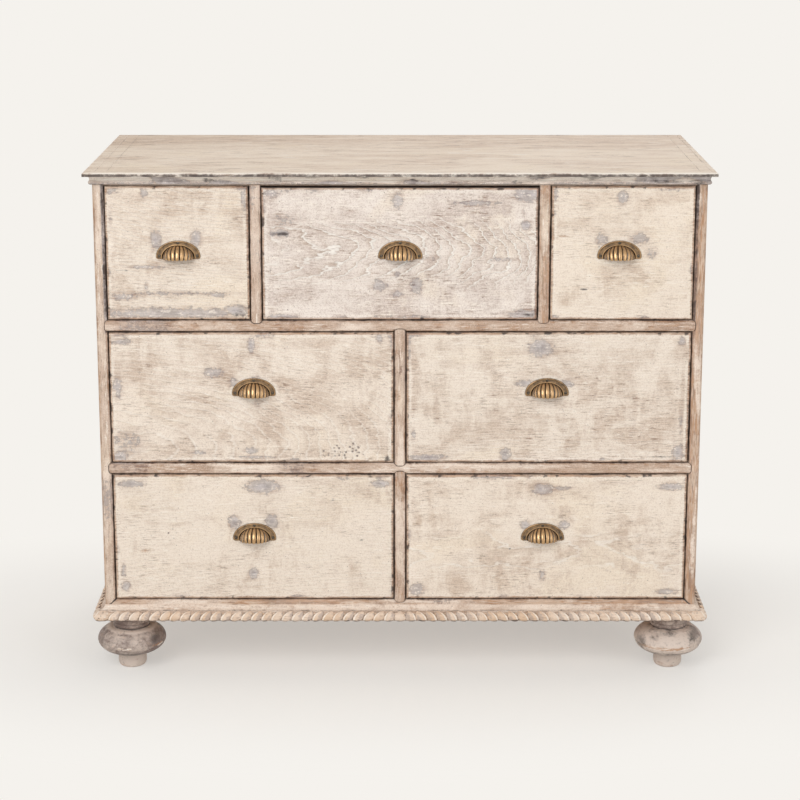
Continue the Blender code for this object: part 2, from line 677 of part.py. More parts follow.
def cup_mesh():
    """The fluted shell of the cup, open below and behind."""
    bm = bmesh.new()
    inset = FLUTE_DEPTH + CUP_WALL
    columns = 2 * FLUTE_COUNT + 1

    def grid(rows, wide, deep, tall, dip):
        verts = []
        for row in range(rows):
            places = [cup_point(column, row, rows, wide, deep, tall, dip) for column in range(columns)]
            verts.append([bm.verts.new(place) for place in places])
        pole = bm.verts.new((0.0, 0.0, tall))
        for low, high in zip(verts, verts[1:]):
            for i in range(columns - 1):
                bm.faces.new((low[i], low[i + 1], high[i + 1], high[i]))
        for i in range(columns - 1):
            bm.faces.new((verts[-1][i], verts[-1][i + 1], pole))
        return verts, pole

    outer, outer_pole = grid(CUP_ROWS, CUP_WIDTH / 2, PULL_PROJECTION, CUP_HEIGHT, FLUTE_DEPTH)
    sizes = (CUP_WIDTH / 2 - inset, PULL_PROJECTION - inset, CUP_HEIGHT - CUP_WALL)
    inner, inner_pole = grid(CUP_INNER_ROWS, *sizes, 0.0)
    for i in range(columns - 1):
        bm.faces.new((outer[0][i], outer[0][i + 1], inner[0][i + 1], inner[0][i]))
    back = [row[0] for row in outer] + [outer_pole] + [row[-1] for row in reversed(outer)]
    back += [row[-1] for row in inner] + [inner_pole] + [row[0] for row in reversed(inner)]
    bm.faces.new(back)
    return finished_mesh("cup", bm)


def flange_mesh():
    """The flat half-round plate round the cup, which lies on the drawer front."""
    inset = (FLUTE_DEPTH + CUP_WALL) * CUP_FLANGE_INSET_SHARE

    def outline(shrink):
        points = [(-PULL_WIDTH / 2 + shrink, 0.0)]
        for i in range(FLANGE_ARC_STEPS + 1):
            angle = math.pi - math.pi * i / FLANGE_ARC_STEPS
            across = (PULL_WIDTH / 2 - shrink) * math.cos(angle)
            up = PULL_END_RISE + (PULL_HEIGHT - PULL_END_RISE - shrink) * math.sin(angle)
            points.append((across, up))
        points.append((PULL_WIDTH / 2 - shrink, 0.0))
        for i in range(FLANGE_ARC_STEPS + 1):
            angle = math.pi * i / FLANGE_ARC_STEPS
            points.append(((CUP_WIDTH / 2 - inset) * math.cos(angle), (CUP_HEIGHT - inset) * math.sin(angle)))
        return points

    levels = (
        (0.0, 0.0),
        (PULL_FLANGE_THICKNESS - PULL_FLANGE_CHAMFER, 0.0),
        (PULL_FLANGE_THICKNESS, PULL_FLANGE_CHAMFER),
    )
    rings = [[(x, -out, z) for x, z in outline(shrink)] for out, shrink in levels]
    return lofted_mesh("flange", rings)


def pull_mesh():
    return shade_round(combined_mesh("cup_pull", flange_mesh(), cup_mesh(), "UNION"))


# Drawers

def front_mesh(name, width, height):
    """A drawer front: softened round its face, rebated for the sides and grooved for the bottom."""
    half = width / 2
    soft = FRONT_ARRIS
    rings = []
    for i in range(FRONT_ARRIS_STEPS + 1):
        angle = math.pi / 2 * i / FRONT_ARRIS_STEPS
        shrink = soft * (1 - math.sin(angle))
        y = soft * (1 - math.cos(angle))
        edge = half - shrink
        rings.append([(-edge, y, shrink), (edge, y, shrink), (edge, y, height - shrink), (-edge, y, height - shrink)])
    rings.append([(-half, FRONT_THICKNESS, 0.0), (half, FRONT_THICKNESS, 0.0),
                  (half, FRONT_THICKNESS, height), (-half, FRONT_THICKNESS, height)])
    mesh = lofted_mesh(name, rings)
    rebate_y = FRONT_THICKNESS - FRONT_REBATE_DEPTH
    rebate_x = half - BOX_SIDE_THICKNESS - 2 * JOINT_GAP
    for side in (-1, 1):
        ends = sorted((side * rebate_x, side * (half + OVERCUT)))
        low = (ends[0], rebate_y, -OVERCUT)
        high = (ends[1], FRONT_THICKNESS + OVERCUT, height + OVERCUT)
        mesh = combined_mesh(name, mesh, box_mesh("rebate", low, high), "DIFFERENCE")
    groove_z = RUNNING_GAP + BOX_GROOVE_HEIGHT - DRAWER_REVEAL
    low = (-half - OVERCUT, FRONT_THICKNESS - BOX_GROOVE_DEPTH, groove_z)
    high = (half + OVERCUT, FRONT_THICKNESS + OVERCUT, groove_z + BOX_BOTTOM_THICKNESS + 2 * JOINT_GAP)
    return combined_mesh(name, mesh, box_mesh("groove", low, high), "DIFFERENCE")


def box_sides_mesh(name, half, start, end, height):
    """The drawer's two sides and its back, joined at the rear corners, grooved for the bottom."""
    inner = half - BOX_SIDE_THICKNESS
    rear = end - BOX_BACK_THICKNESS
    outline = [
        (-half, start), (-inner, start), (-inner, rear), (inner, rear),
        (inner, start), (half, start), (half, end), (-half, end),
    ]
    mesh = lofted_mesh(name, [[(x, y, z) for x, y in outline] for z in (0.0, height)])
    groove_top = BOX_GROOVE_HEIGHT + BOX_BOTTOM_THICKNESS + 2 * JOINT_GAP
    reach = inner + BOX_GROOVE_DEPTH
    grooves = box_mesh("grooves", (-reach, start - OVERCUT, BOX_GROOVE_HEIGHT), (reach, end + OVERCUT, groove_top))
    mesh = combined_mesh(name, mesh, grooves, "DIFFERENCE")
    below = box_mesh("below", (-inner, rear - OVERCUT, -OVERCUT), (inner, end + OVERCUT, groove_top))
    mesh = combined_mesh(name, mesh, below, "DIFFERENCE")
    above = (-inner, rear - OVERCUT, height - BOX_BACK_DROP)
    drop = box_mesh("drop", above, (inner, end + OVERCUT, height + OVERCUT))
    return combined_mesh(name, mesh, drop, "DIFFERENCE")


def build_drawer(spec, pull, materials, carcass):
    """One drawer: its front, the box of sides and back, the loose bottom and the cup pull."""
    name, left, right, floor, opening_height, pull_rise, pull_shift = spec
    face = FRONT_PLANE + FRONT_SETBACK
    slide = add_empty(f"{name}_slide", ((left + right) / 2, face, floor), carcass)
    width = right - left - 2 * DRAWER_REVEAL
    height = opening_height - 2 * DRAWER_REVEAL
    mesh = front_mesh(f"{name}_front", width, height)
    add_piece(f"{name}_front", mesh, materials["front"], (0.0, 0.0, DRAWER_REVEAL), slide)

    half = width / 2 - JOINT_GAP
    start = FRONT_THICKNESS - FRONT_REBATE_DEPTH + JOINT_GAP
    end = BACK_PANEL_FRONT - face - BOX_REAR_GAP
    box_height = opening_height - BOX_HEADROOM - RUNNING_GAP
    mesh = box_sides_mesh(f"{name}_box", half, start, end, box_height)
    add_piece(f"{name}_box", mesh, materials["box"], (0.0, 0.0, RUNNING_GAP), slide)

    reach = half - BOX_SIDE_THICKNESS + BOX_GROOVE_DEPTH - JOINT_GAP
    low_z = RUNNING_GAP + BOX_GROOVE_HEIGHT + JOINT_GAP
    low = Vector((-reach, FRONT_THICKNESS - BOX_GROOVE_DEPTH + JOINT_GAP, low_z))
    high = Vector((reach, end, low_z + BOX_BOTTOM_THICKNESS))
    board(f"{name}_bottom", low, high, materials["bottom"], slide)

    pull_z = DRAWER_REVEAL + height / 2 + pull_rise - PULL_HEIGHT / 2
    add_piece(f"{name}_pull", pull, materials["pull"], (pull_shift, -JOINT_GAP, pull_z), slide)


def main():
    clear_scene()
    frame = make_material("worn_frame_pine", (0.55, 0.42, 0.32), 0.75)
    panel = make_material("whitewashed_side_pine", (0.60, 0.50, 0.41), 0.8)
    hidden = make_material("plain_inner_pine", (0.52, 0.37, 0.22), 0.85)
    top = make_material("worn_top_pine", (0.52, 0.40, 0.30), 0.7)
    moulding = make_material("greyed_moulding_pine", (0.55, 0.45, 0.38), 0.75)
    rope = make_material("carved_rope_pine", (0.52, 0.38, 0.27), 0.75)
    foot = make_material("stained_foot_wood", (0.27, 0.22, 0.20), 0.65)
    materials = {
        "front": make_material("whitewashed_front_pine", (0.72, 0.63, 0.52), 0.75),
        "box": make_material("drawer_box_pine", (0.58, 0.43, 0.27), 0.85),
        "bottom": make_material("drawer_bottom_board", (0.50, 0.36, 0.22), 0.85),
        "pull": make_material("antique_brass", (0.33, 0.23, 0.10), 0.4, 0.9),
    }
    carcass = add_empty("carcass", (0.0, 0.0, 0.0))
    build_top_board(top, carcass)
    build_cornice(moulding, carcass)
    build_stiles(frame, carcass)
    build_rails(frame, carcass)
    build_muntins(frame, carcass)
    build_sides_and_back(panel, hidden, carcass)
    build_dust_panels(hidden, carcass)
    build_partitions(hidden, carcass)
    build_base_board(moulding, carcass)
    build_rope(rope, carcass)
    build_feet(foot, carcass)
    pull = pull_mesh()
    for spec in row_openings():
        build_drawer(spec, pull, materials, carcass)


if __name__ == "__main__":
    main()
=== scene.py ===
"""The finished look of a whitewashed pine chest with seven drawers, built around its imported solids.

Metres, +Z up, the front facing -Y. Every piece is made in its place and moves with the solid it stands for.
"""

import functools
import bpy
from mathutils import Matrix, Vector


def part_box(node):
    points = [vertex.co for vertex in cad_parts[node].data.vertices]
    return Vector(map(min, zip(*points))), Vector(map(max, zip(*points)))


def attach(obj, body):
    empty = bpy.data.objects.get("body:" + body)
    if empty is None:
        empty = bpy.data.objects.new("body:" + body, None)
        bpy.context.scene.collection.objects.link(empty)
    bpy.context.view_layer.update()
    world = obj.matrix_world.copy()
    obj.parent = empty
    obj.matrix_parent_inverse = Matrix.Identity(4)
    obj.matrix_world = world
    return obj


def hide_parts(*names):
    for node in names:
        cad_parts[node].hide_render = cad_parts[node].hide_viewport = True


bl_info = {
    "name": "Whitewashed Pine Chest",
    "version": (1, 0, 0),
    "blender": (4, 5, 0),
    "location": "View3D > Sidebar > Chest",
    "description": "Boards, mouldings, feet, drawer fronts and cup pulls of a worn whitewashed chest",
    "category": "Add Mesh",
}

from math import acos, atan2, copysign, cos, hypot, pi, radians, sin, sqrt, tau

import bmesh
import bpy
import numpy as np
from bpy.props import FloatProperty, FloatVectorProperty, IntProperty, PointerProperty
from mathutils import Matrix, Vector, noise

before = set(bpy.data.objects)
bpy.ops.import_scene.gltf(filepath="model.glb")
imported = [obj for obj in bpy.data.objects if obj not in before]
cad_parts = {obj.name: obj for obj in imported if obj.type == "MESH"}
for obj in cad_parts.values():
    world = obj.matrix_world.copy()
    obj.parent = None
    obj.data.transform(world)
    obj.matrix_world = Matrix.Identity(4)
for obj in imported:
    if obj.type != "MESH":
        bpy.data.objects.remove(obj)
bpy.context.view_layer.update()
# The open gap between neighbours, and a step too small to see, in metres.
CLEARANCE = 0.0003
HAIR = 0.00002
SIDES = {"left": -1, "front": 0, "right": 1}

# Marks on each drawer front by kind, in millimetres from its middle: across, up, half width, half height
# and strength out of ten. Grey is the old coat, brown is bare wood, grime is dark wax, pits are worm-eaten
# wood, and wash is how thick the wash lies, below nothing where it is thin.
FRONT_MARKS = {
    "drawer_top_left": {
        "grey": ((-60, 114, 7, 9, 7), (-117, 119, 13, 10, 6), (-40, 25, 9, 15, 9), (35, 28, 9, 15, 9),
            (-62, -26, 32, 3, 8), (-2, -114, 129, 10, 8), (106, -109, 18, 9, 10), (-2, -76, 119, 4, 5),
            (71, -79, 16, 4, 8), (-103, -82, 21, 7, 7), (-60, -65, 4, 12, 5), (124, 107, 4, 24, 7),
            (-123, 68, 5, 19, 4)),
        "grime": ((-103, -32, 21, 2, 5), (108, -117, 21, 4, 6)),
        "wash": ((25, 107, 106, 22, -7), (85, 88, 41, 19, -5), (-85, 39, 37, 29, -4),
            (21, 33, 55, 7, -7), (-21, -4, 106, 6, -4), (-80, 88, 37, 19, -5), (21, -53, 106, 19, 9),
            (11, -93, 110, 6, 8), (85, 54, 37, 19, 4), (-103, 5, 18, 29, 4)),
    },
    "drawer_top_middle": {
        "grey": ((238, 114, 23, 13, 9), (140, 96, 41, 6, 6), (-4, 101, 9, 14, 8), (234, 54, 9, 7, 10),
            (30, -60, 10, 14, 8), (-5, -76, 11, 6, 7), (190, -10, 25, 4, 6), (62, -9, 28, 6, 4),
            (231, -117, 28, 10, 8), (-223, 39, 21, 7, 7), (-214, 64, 34, 12, 4), (-237, 114, 13, 8, 7),
            (-221, -121, 25, 5, 10), (-40, -61, 14, 10, 7), (-6, -39, 5, 5, 7)),
        "brown": ((225, -30, 2, 4, 10),),
        "grime": ((241, -116, 10, 4, 7), (-223, 38, 15, 4, 9), (-242, -31, 2, 6, 6)),
        "wash": ((-205, 64, 41, 17, -7), (-159, 15, 92, 44, -5), (-209, -33, 41, 24, -3),
            (62, 5, 55, 15, -4), (130, 39, 69, 24, -5), (85, 88, 73, 12, -5), (199, -38, 46, 15, -3),
            (29, 64, 55, 10, 4), (-62, 102, 92, 15, 3), (-99, -92, 101, 15, 3)),
    },
    "drawer_top_right": {
        "grey": ((-2, 105, 9, 11, 9), (-40, 27, 12, 13, 6), (29, 28, 17, 12, 6), (54, 1, 10, 10, 6),
            (-126, 113, 4, 15, 6), (-125, -122, 9, 5, 6)),
        "brown": ((-109, 33, 10, 2, 7),),
        "grime": ((-70, -68, 8, 2, 9), (-51, -66, 6, 2, 5)),
        "wash": ((79, 79, 17, 12, -6), (-6, 84, 69, 19, -3), (91, -64, 23, 19, -4),
            (-33, -81, 28, 15, -4), (-1, -42, 73, 15, -3), (-97, 84, 23, 19, -3),
            (-65, -110, 64, 15, 6), (82, 26, 37, 29, 5), (-84, 2, 32, 24, 5), (45, -100, 55, 15, 5)),
    },
    "drawer_middle_left": {
        "grey": ((0, 103, 6, 13, 10), (-71, 49, 17, 9, 8), (-35, 30, 8, 10, 7), (7, 40, 9, 4, 6),
            (10, -12, 6, 10, 6), (-253, 22, 8, 18, 8), (-244, 109, 17, 5, 8), (-251, -114, 12, 9, 9),
            (-235, -87, 28, 24, 5), (-104, -107, 14, 4, 7), (-3, -103, 13, 6, 8), (6, -116, 41, 3, 6),
            (241, 116, 6, 10, 7)),
        "grime": ((0, 103, 6, 12, 4), (41, 37, 2, 2, 9), (255, -121, 7, 7, 8)),
        "pits": ((183, -102, 28, 16, 10), (135, -109, 16, 9, 8)),
        "wash": ((-113, 104, 69, 16, -7), (-141, 58, 41, 15, -3), (-214, 97, 28, 19, -3),
            (-154, -29, 60, 29, -6), (135, 15, 115, 29, -7), (121, 87, 87, 19, -6),
            (153, -39, 73, 19, -4), (-30, -68, 55, 10, -3), (-177, -58, 28, 24, 7),
            (-44, -44, 23, 24, 5), (-223, -15, 28, 29, 6), (222, 5, 18, 39, 5), (-49, 92, 28, 29, 4),
            (62, -82, 73, 15, 5), (-3, 68, 28, 19, 4)),
    },
    "drawer_middle_right": {
        "grey": ((-16, 97, 20, 15, 10), (-45, 29, 15, 5, 9), (35, 28, 12, 7, 8), (250, 110, 6, 7, 9),
            (-80, -110, 9, 12, 9), (-227, -117, 29, 5, 10), (248, -107, 9, 14, 9), (106, -121, 6, 3, 8),
            (-254, -73, 4, 12, 6), (252, -44, 4, 29, 5)),
        "grime": ((216, -116, 32, 2, 6), (-34, 31, 2, 2, 6)),
        "wash": ((-242, 58, 11, 24, -8), (-192, 77, 15, 24, -9), (-144, 77, 19, 15, -7),
            (-98, 53, 19, 24, -6), (-144, -8, 92, 17, -6), (62, 63, 55, 19, -8), (118, 14, 60, 29, -8),
            (159, 46, 60, 10, -8), (-163, -64, 37, 29, -5), (12, -68, 51, 29, -5),
            (168, -59, 41, 24, -4), (-6, -34, 73, 10, -4), (-222, 97, 12, 44, 6), (-17, 58, 12, 22, 6),
            (-195, -59, 18, 24, 5), (205, -15, 28, 29, 5), (-71, 106, 37, 10, 4), (104, 92, 14, 29, 4),
            (118, -88, 23, 29, 4), (-80, -54, 14, 39, 4)),
    },
    "drawer_bottom_left": {
        "grey": ((-232, 107, 21, 6, 9), (18, 101, 28, 11, 10), (243, 107, 18, 6, 9),
            (-37, 30, 10, 13, 9), (34, 32, 10, 12, 9), (-2, -73, 8, 9, 10), (-252, -67, 4, 15, 7),
            (-248, -99, 8, 10, 8)),
        "brown": ((-207, -27, 15, 5, 6),),
        "grime": ((152, 75, 4, 2, 8), (206, -6, 4, 2, 8), (9, -57, 2, 2, 6)),
        "pits": ((-156, 8, 21, 17, 5),),
        "wash": ((14, 71, 44, 24, -7), (-156, 86, 23, 29, -4), (-216, 16, 37, 24, -5),
            (-147, -31, 23, 19, -6), (-5, 41, 51, 13, -8), (197, 66, 18, 24, -4),
            (-170, -98, 83, 10, -3), (14, -79, 51, 13, -4), (106, -40, 92, 15, -3),
            (-202, -65, 37, 19, 7), (129, -11, 64, 15, 4), (-96, 81, 32, 24, 7), (87, 76, 28, 19, 6),
            (-101, -16, 28, 39, 5), (220, -40, 28, 48, 4)),
    },
    "drawer_bottom_right": {
        "grey": ((-9, 96, 17, 10, 9), (27, 98, 23, 4, 6), (238, 101, 22, 6, 9), (-40, 25, 9, 7, 9),
            (34, 25, 9, 7, 9), (-6, -76, 6, 11, 7), (-247, -106, 15, 12, 7), (236, -110, 21, 5, 8)),
        "grime": ((-69, -23, 2, 2, 8), (213, -54, 2, 2, 6)),
        "wash": ((-51, 21, 28, 15, -7), (40, 26, 28, 15, -7), (-152, 29, 83, 10, -5),
            (-171, -20, 83, 19, -4), (132, 43, 92, 15, -3), (-51, -64, 138, 15, -3),
            (-143, -97, 92, 10, -3), (155, -30, 92, 24, -3), (-189, 67, 64, 19, 4), (-6, 63, 37, 13, 5),
            (132, -88, 83, 15, 3), (155, 82, 55, 10, 4)),
    },
}

DRAWERS = tuple(FRONT_MARKS)

# The coat of each front: how well the wash covers it, around nothing for an even mix, how cool a white it
# has, and its growth rings: how many there are to the metre, how strongly they show, how far they reach
# above and below their middle, and their middles from the front's middle, each with how stretched its
# rings are and how far it lies behind the others.
FRONT_COATS = {
    "drawer_top_left": (0.08, 0.1, 200, 0.4, 0.9, (0.25, 0.3, 0.4, 0)),
    "drawer_top_middle": (0.02, 1, 310, 0.8, 0.066, (-0.36, 0, 0.26, 0), (0.17, 0.012, 0.14, 0.074)),
    "drawer_top_right": (0.15, 0, 200, 0.2, 0.9, (0.16, 0.3, 0.35, 0)),
    "drawer_middle_left": (0.06, 0.2, 220, 0.3, 0.9, (-0.3, -0.1, 0.35, 0)),
    "drawer_middle_right": (0.05, 0.2, 210, 0.25, 0.9, (0.6, -0.35, 0.12, 0)),
    "drawer_bottom_left": (0.22, 0.1, 210, 0.25, 0.9, (0.7, -0.3, 0.2, 0)),
    "drawer_bottom_right": (0.15, 0.1, 300, 0.45, 0.044, (-0.36, -0.03, 0.17, 0), (0.4, -0.03, 0.17, 0.004)),
}

# Dark places on the front feet: how far across from the foot's middle, how high, half their width and
# height, and how dark, in metres.
FOOT_MARKS = {
    "foot_front_left": ((0.05, 0.066, 0.013, 0.013, 0.72), (-0.05, 0.06, 0.01, 0.014, 0.6)),
    "foot_front_right": ((0.043, 0.071, 0.013, 0.011, 0.8), (-0.055, 0.058, 0.013, 0.02, 0.62),
                         (-0.034, 0.071, 0.013, 0.0045, 0.52), (-0.014, 0.0785, 0.034, 0.0045, 0.66)),
}


def screen(red, green, blue, alpha=1.0):
    """A colour as it looks on a screen, from 0 to 255, as the linear values that shaders use."""
    linear = []
    for value in (red, green, blue):
        value /= 255
        linear.append(value / 12.92 if value <= 0.04045 else ((value + 0.055) / 1.055) ** 2.4)
    return (*linear, alpha)


def colour_setting(name, description, *colour):
    return FloatVectorProperty(name=name, description=description, subtype="COLOR", size=4, min=0.0, max=1.0,
                               default=screen(*colour))


def length_setting(name, description, default):
    return FloatProperty(name=name, description=description, subtype="DISTANCE", unit="LENGTH", min=0.0,
                         precision=4, default=default)


class ChestPaint(bpy.types.PropertyGroup):
    """Colours of the wash, of what shows through it and of the frame."""

    thick: colour_setting("Thick wash", "Wash where it covers the wood", 241, 227, 211)
    thin: colour_setting("Thin wash", "Wash where the wood tints it", 215, 194, 174)
    streak: colour_setting("Grain", "Dark lines of the grain", 176, 150, 132)
    # The ridge colour also serves as painted highlight: on the rope's crests and, where the stored wash runs
    # past one, in lines along the drawer fronts' and the top's edges.
    fleck: colour_setting("Ridge", "Wash caught on raised grain", 250, 241, 230)
    old_coat: colour_setting("Old coat", "Older grey paint", 190, 183, 185)
    bare: colour_setting("Bare wood", "Pine rubbed bare", 184, 136, 98)
    # Grime is also laid on as painted shade: along the drawer fronts' right and bottom edges and sides in the
    # gap, under the top's lip, in the cornice's crease and at the feet's toes.
    grime: colour_setting("Grime", "Dark wax in corners and hollows", 66, 59, 58)
    frame_coat: colour_setting("Frame wash", "Wash on the stiles, rails and muntins", 238, 220, 204)
    frame_thin: colour_setting("Thin frame wash", "Thin wash on the same", 194, 166, 145)
    top_coat: colour_setting("Top wash", "Wash on the top board", 242, 225, 206)
    top_thin: colour_setting("Thin top wash", "Thin wash on the top board", 212, 188, 166)
    rope_coat: colour_setting("Rope wash", "Wash on the carved strands", 236, 215, 196)
    foot_stain: colour_setting("Foot stain", "Stain on the bun feet", 128, 110, 103)
    foot_wash: colour_setting("Foot wash", "Pale wash left on the feet", 224, 208, 196)
    pine: colour_setting("Inner pine", "Unpainted pine inside", 208, 178, 142)
    pine_grain: colour_setting("Inner grain", "Grain of the unpainted pine", 176, 138, 100)


class ChestFrameSizes(bpy.types.PropertyGroup):
    """Sizes of the face frame's rounded members."""

    thickness: length_setting("Thickness", "Front to back of a member", 0.02)
    crown: length_setting("Crown", "How far the face is rounded back at its edges", 0.006)
    tongue: length_setting("Tongue", "How far a member laps over the next one", 0.0055)
    tongue_depth: length_setting("Tongue depth", "Thickness of the lapping tongue", 0.0085)
    pocket_gap: length_setting("Pocket gap", "Open line round a tongue", 0.0006)


class ChestRopeSizes(bpy.types.PropertyGroup):
    """Sizes of the rope carving."""

    radius: length_setting("Radius", "Radius of the half-round", 0.0102)
    projection: length_setting("Projection", "How far the carving stands out", 0.0125)
    pitch: length_setting("Pitch", "Distance between strands", 0.0196)
    lean: length_setting("Lean", "How far a strand runs along between its top and bottom", 0.013)
    carve: length_setting("Carving depth", "Depth of the hollow between strands", 0.0036)
    knuckle: length_setting("Knuckle", "Plain length at the corners", 0.019)


class ChestPullSizes(bpy.types.PropertyGroup):
    """Sizes of the fluted cup pulls."""

    flutes: IntProperty(name="Ribs", description="Ribs round the cup", min=5, max=21, default=11)
    flute_depth: length_setting("Flute depth", "Depth of the hollow between ribs", 0.0025)
    cup_width: length_setting("Cup width", "Width of the cup's mouth", 0.059)
    cup_height: length_setting("Cup height", "Height of the cup", 0.0255)
    wall: length_setting("Wall", "Thickness of the metal", 0.0018)
    end_rise: length_setting("End rise", "Straight part at each end of the plate", 0.0055)
    screw: length_setting("Screw head", "Radius of a screw head", 0.003)
    brass: colour_setting("Brass", "Rubbed metal", 188, 150, 104)
    patina: colour_setting("Patina", "Dark metal in the hollows", 44, 31, 21)


class ChestStage(bpy.types.PropertyGroup):
    """Floor, light and background."""

    ground: colour_setting("Background", "Floor and background", 245, 242, 237)
    fill: FloatProperty(name="Fill", description="Strength of the even light", min=0.0, default=0.43)
    key: FloatProperty(name="Key", description="Power of the large lamp in front", subtype="POWER",
                       unit="POWER", min=0.0, default=92.0)


# Shared shapes


def graded(low, high, step, margin):
    """Places from one edge to the other, closer together within the margin of either edge."""
    near = [margin * share for share in (0.0, 0.12, 0.3, 0.55, 0.8, 1.0)]
    count = max(1, round((high - low - 2 * margin) / step))
    inner = [low + margin + (high - low - 2 * margin) * i / count for i in range(1, count)]
    return [low + out for out in near] + inner + [high - out for out in reversed(near)]


def stepped(low, high, step):
    count = max(1, round((high - low) / step))
    return [low + (high - low) * i / count for i in range(count + 1)]


def ramp(value, low, high):
    """Smoothly from 0 to 1 as a value goes from low to high."""
    share = np.clip((value - low) / (high - low), 0.0, 1.0)
    return share * share * (3 - 2 * share)


def fade(value, low, high):
    return 1 - ramp(value, low, high)


def bell(value, middle, width):
    return np.exp(-((value - middle) / width) ** 2)


def most(*amounts):
    return functools.reduce(np.maximum, amounts)


def rough(x, y, z, scale, seed=0.0):
    """Smooth noise from 0 to 1 at a place, with lumps of 1 / scale metres."""
    return 0.5 + 0.5 * noise.noise(Vector((x * scale + seed, y * scale - seed, z * scale + 2 * seed)))


def finished(name, bm):
    """Merges what coincides and turns every face outwards."""
    bmesh.ops.remove_doubles(bm, verts=bm.verts, dist=1e-6)
    bmesh.ops.recalc_face_normals(bm, faces=bm.faces)
    mesh = bpy.data.meshes.new(name)
    bm.to_mesh(mesh)
    bm.free()
    return mesh


def bridge(bm, near, far):
    for i in range(len(near) - 1):
        bm.faces.new((near[i], near[i + 1], far[i + 1], far[i]))


def lofted(name, rings):
    """Skins closed rings of points in order and caps both ends."""
    bm = bmesh.new()
    loops = [[bm.verts.new(point) for point in ring] for ring in rings]
    for near, far in zip(loops, loops[1:]):
        bridge(bm, near + near[:1], far + far[:1])
    bm.faces.new(loops[0][::-1])
    bm.faces.new(loops[-1])
    return finished(name, bm)


def rounded(mesh, degrees=42):
    """Shades a mesh smooth, but for its sharper edges."""
    mesh.shade_smooth()
    mesh.set_sharp_from_angle(angle=radians(degrees))
    return mesh


def in_scene(name, data):
    obj = bpy.data.objects.new(name, data)
    bpy.context.scene.collection.objects.link(obj)
    return obj


def applied(name, obj):
    """The mesh that an object's modifiers make of it, in the object's stead."""
    evaluated = obj.evaluated_get(bpy.context.evaluated_depsgraph_get())
    mesh = bpy.data.meshes.new_from_object(evaluated)
    mesh.name = name
    obj.modifiers.clear()
    bpy.data.objects.remove(obj, do_unlink=True)
    return mesh


def cut(name, mesh, tool_mesh):
    """A mesh with another cut out of it."""
    base, tool = in_scene(name, mesh), in_scene(f"{name}_tool", tool_mesh)
    boolean = base.modifiers.new("cut", "BOOLEAN")
    boolean.operation = "DIFFERENCE"
    boolean.solver = "EXACT"
    boolean.object = tool
    result = applied(name, base)
    bpy.data.objects.remove(tool, do_unlink=True)
    return result


def add_piece(name, mesh, material, node=None, body="carcass"):
    """A finished piece that rides on a body and stands for a named solid."""
    mesh.name = name
    mesh.materials.clear()
    mesh.materials.append(material)
    obj = in_scene(name, mesh)
    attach(obj, body)
    if node:
        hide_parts(node)


def stain(mesh, rule):
    """Keeps on the mesh what the rule says of its points: old coat, bare wood, grime, wash and pits. On some
    pieces grime also holds painted shade, and wash also holds painted highlights and shade.
    """
    places = np.empty(len(mesh.vertices) * 3, np.float32)
    mesh.vertices.foreach_get("co", places)
    amounts = rule(places[0::3], places[1::3], places[2::3])
    wear = np.ones((len(mesh.vertices), 4), np.float32)
    for column, kind in enumerate(("old_coat", "bare", "grime")):
        wear[:, column] = amounts.get(kind, 0.0)
    mesh.attributes.new("wear", "FLOAT_COLOR", "POINT").data.foreach_set("color", wear.ravel())
    for kind in ("wash", "pits"):
        values = np.full(len(mesh.vertices), amounts.get(kind, 0.0), np.float32)
        mesh.attributes.new(kind, "FLOAT", "POINT").data.foreach_set("value", values)
    return mesh


def soft_noise(x, y, z, scale, seed=0.0):
    """The smooth noise of rough() for whole arrays of places."""
    return np.array([rough(a, b, c, scale, seed) for a, b, c in zip(x.tolist(), y.tolist(), z.tolist())])


# Finishes


class Tree:
    """A node tree under way: each call adds a node, feeds it and gives back its output."""

    def __init__(self, tree):
        self.tree = tree
        tree.nodes.clear()

    def node(self, kind, inputs=(), family="ShaderNode", **settings):
        node = self.tree.nodes.new(family + kind)
        for key, value in settings.items():
            setattr(node, key, value)
        for key, value in dict(inputs).items():
            if isinstance(value, bpy.types.NodeSocket):
                self.tree.links.new(value, node.inputs[key])
            else:
                node.inputs[key].default_value = value
        return node

    def math(self, operation, *values):
        """The values taken together in turn."""
        total = values[0]
        for value in values[1:]:
            total = self.node("Math", {0: total, 1: value}, operation=operation).outputs[0]
        return total

    def add(self, *values):
        return self.math("ADD", *values)

    def take(self, *values):
        return self.math("SUBTRACT", *values)

    def times(self, *values):
        return self.math("MULTIPLY", *values)


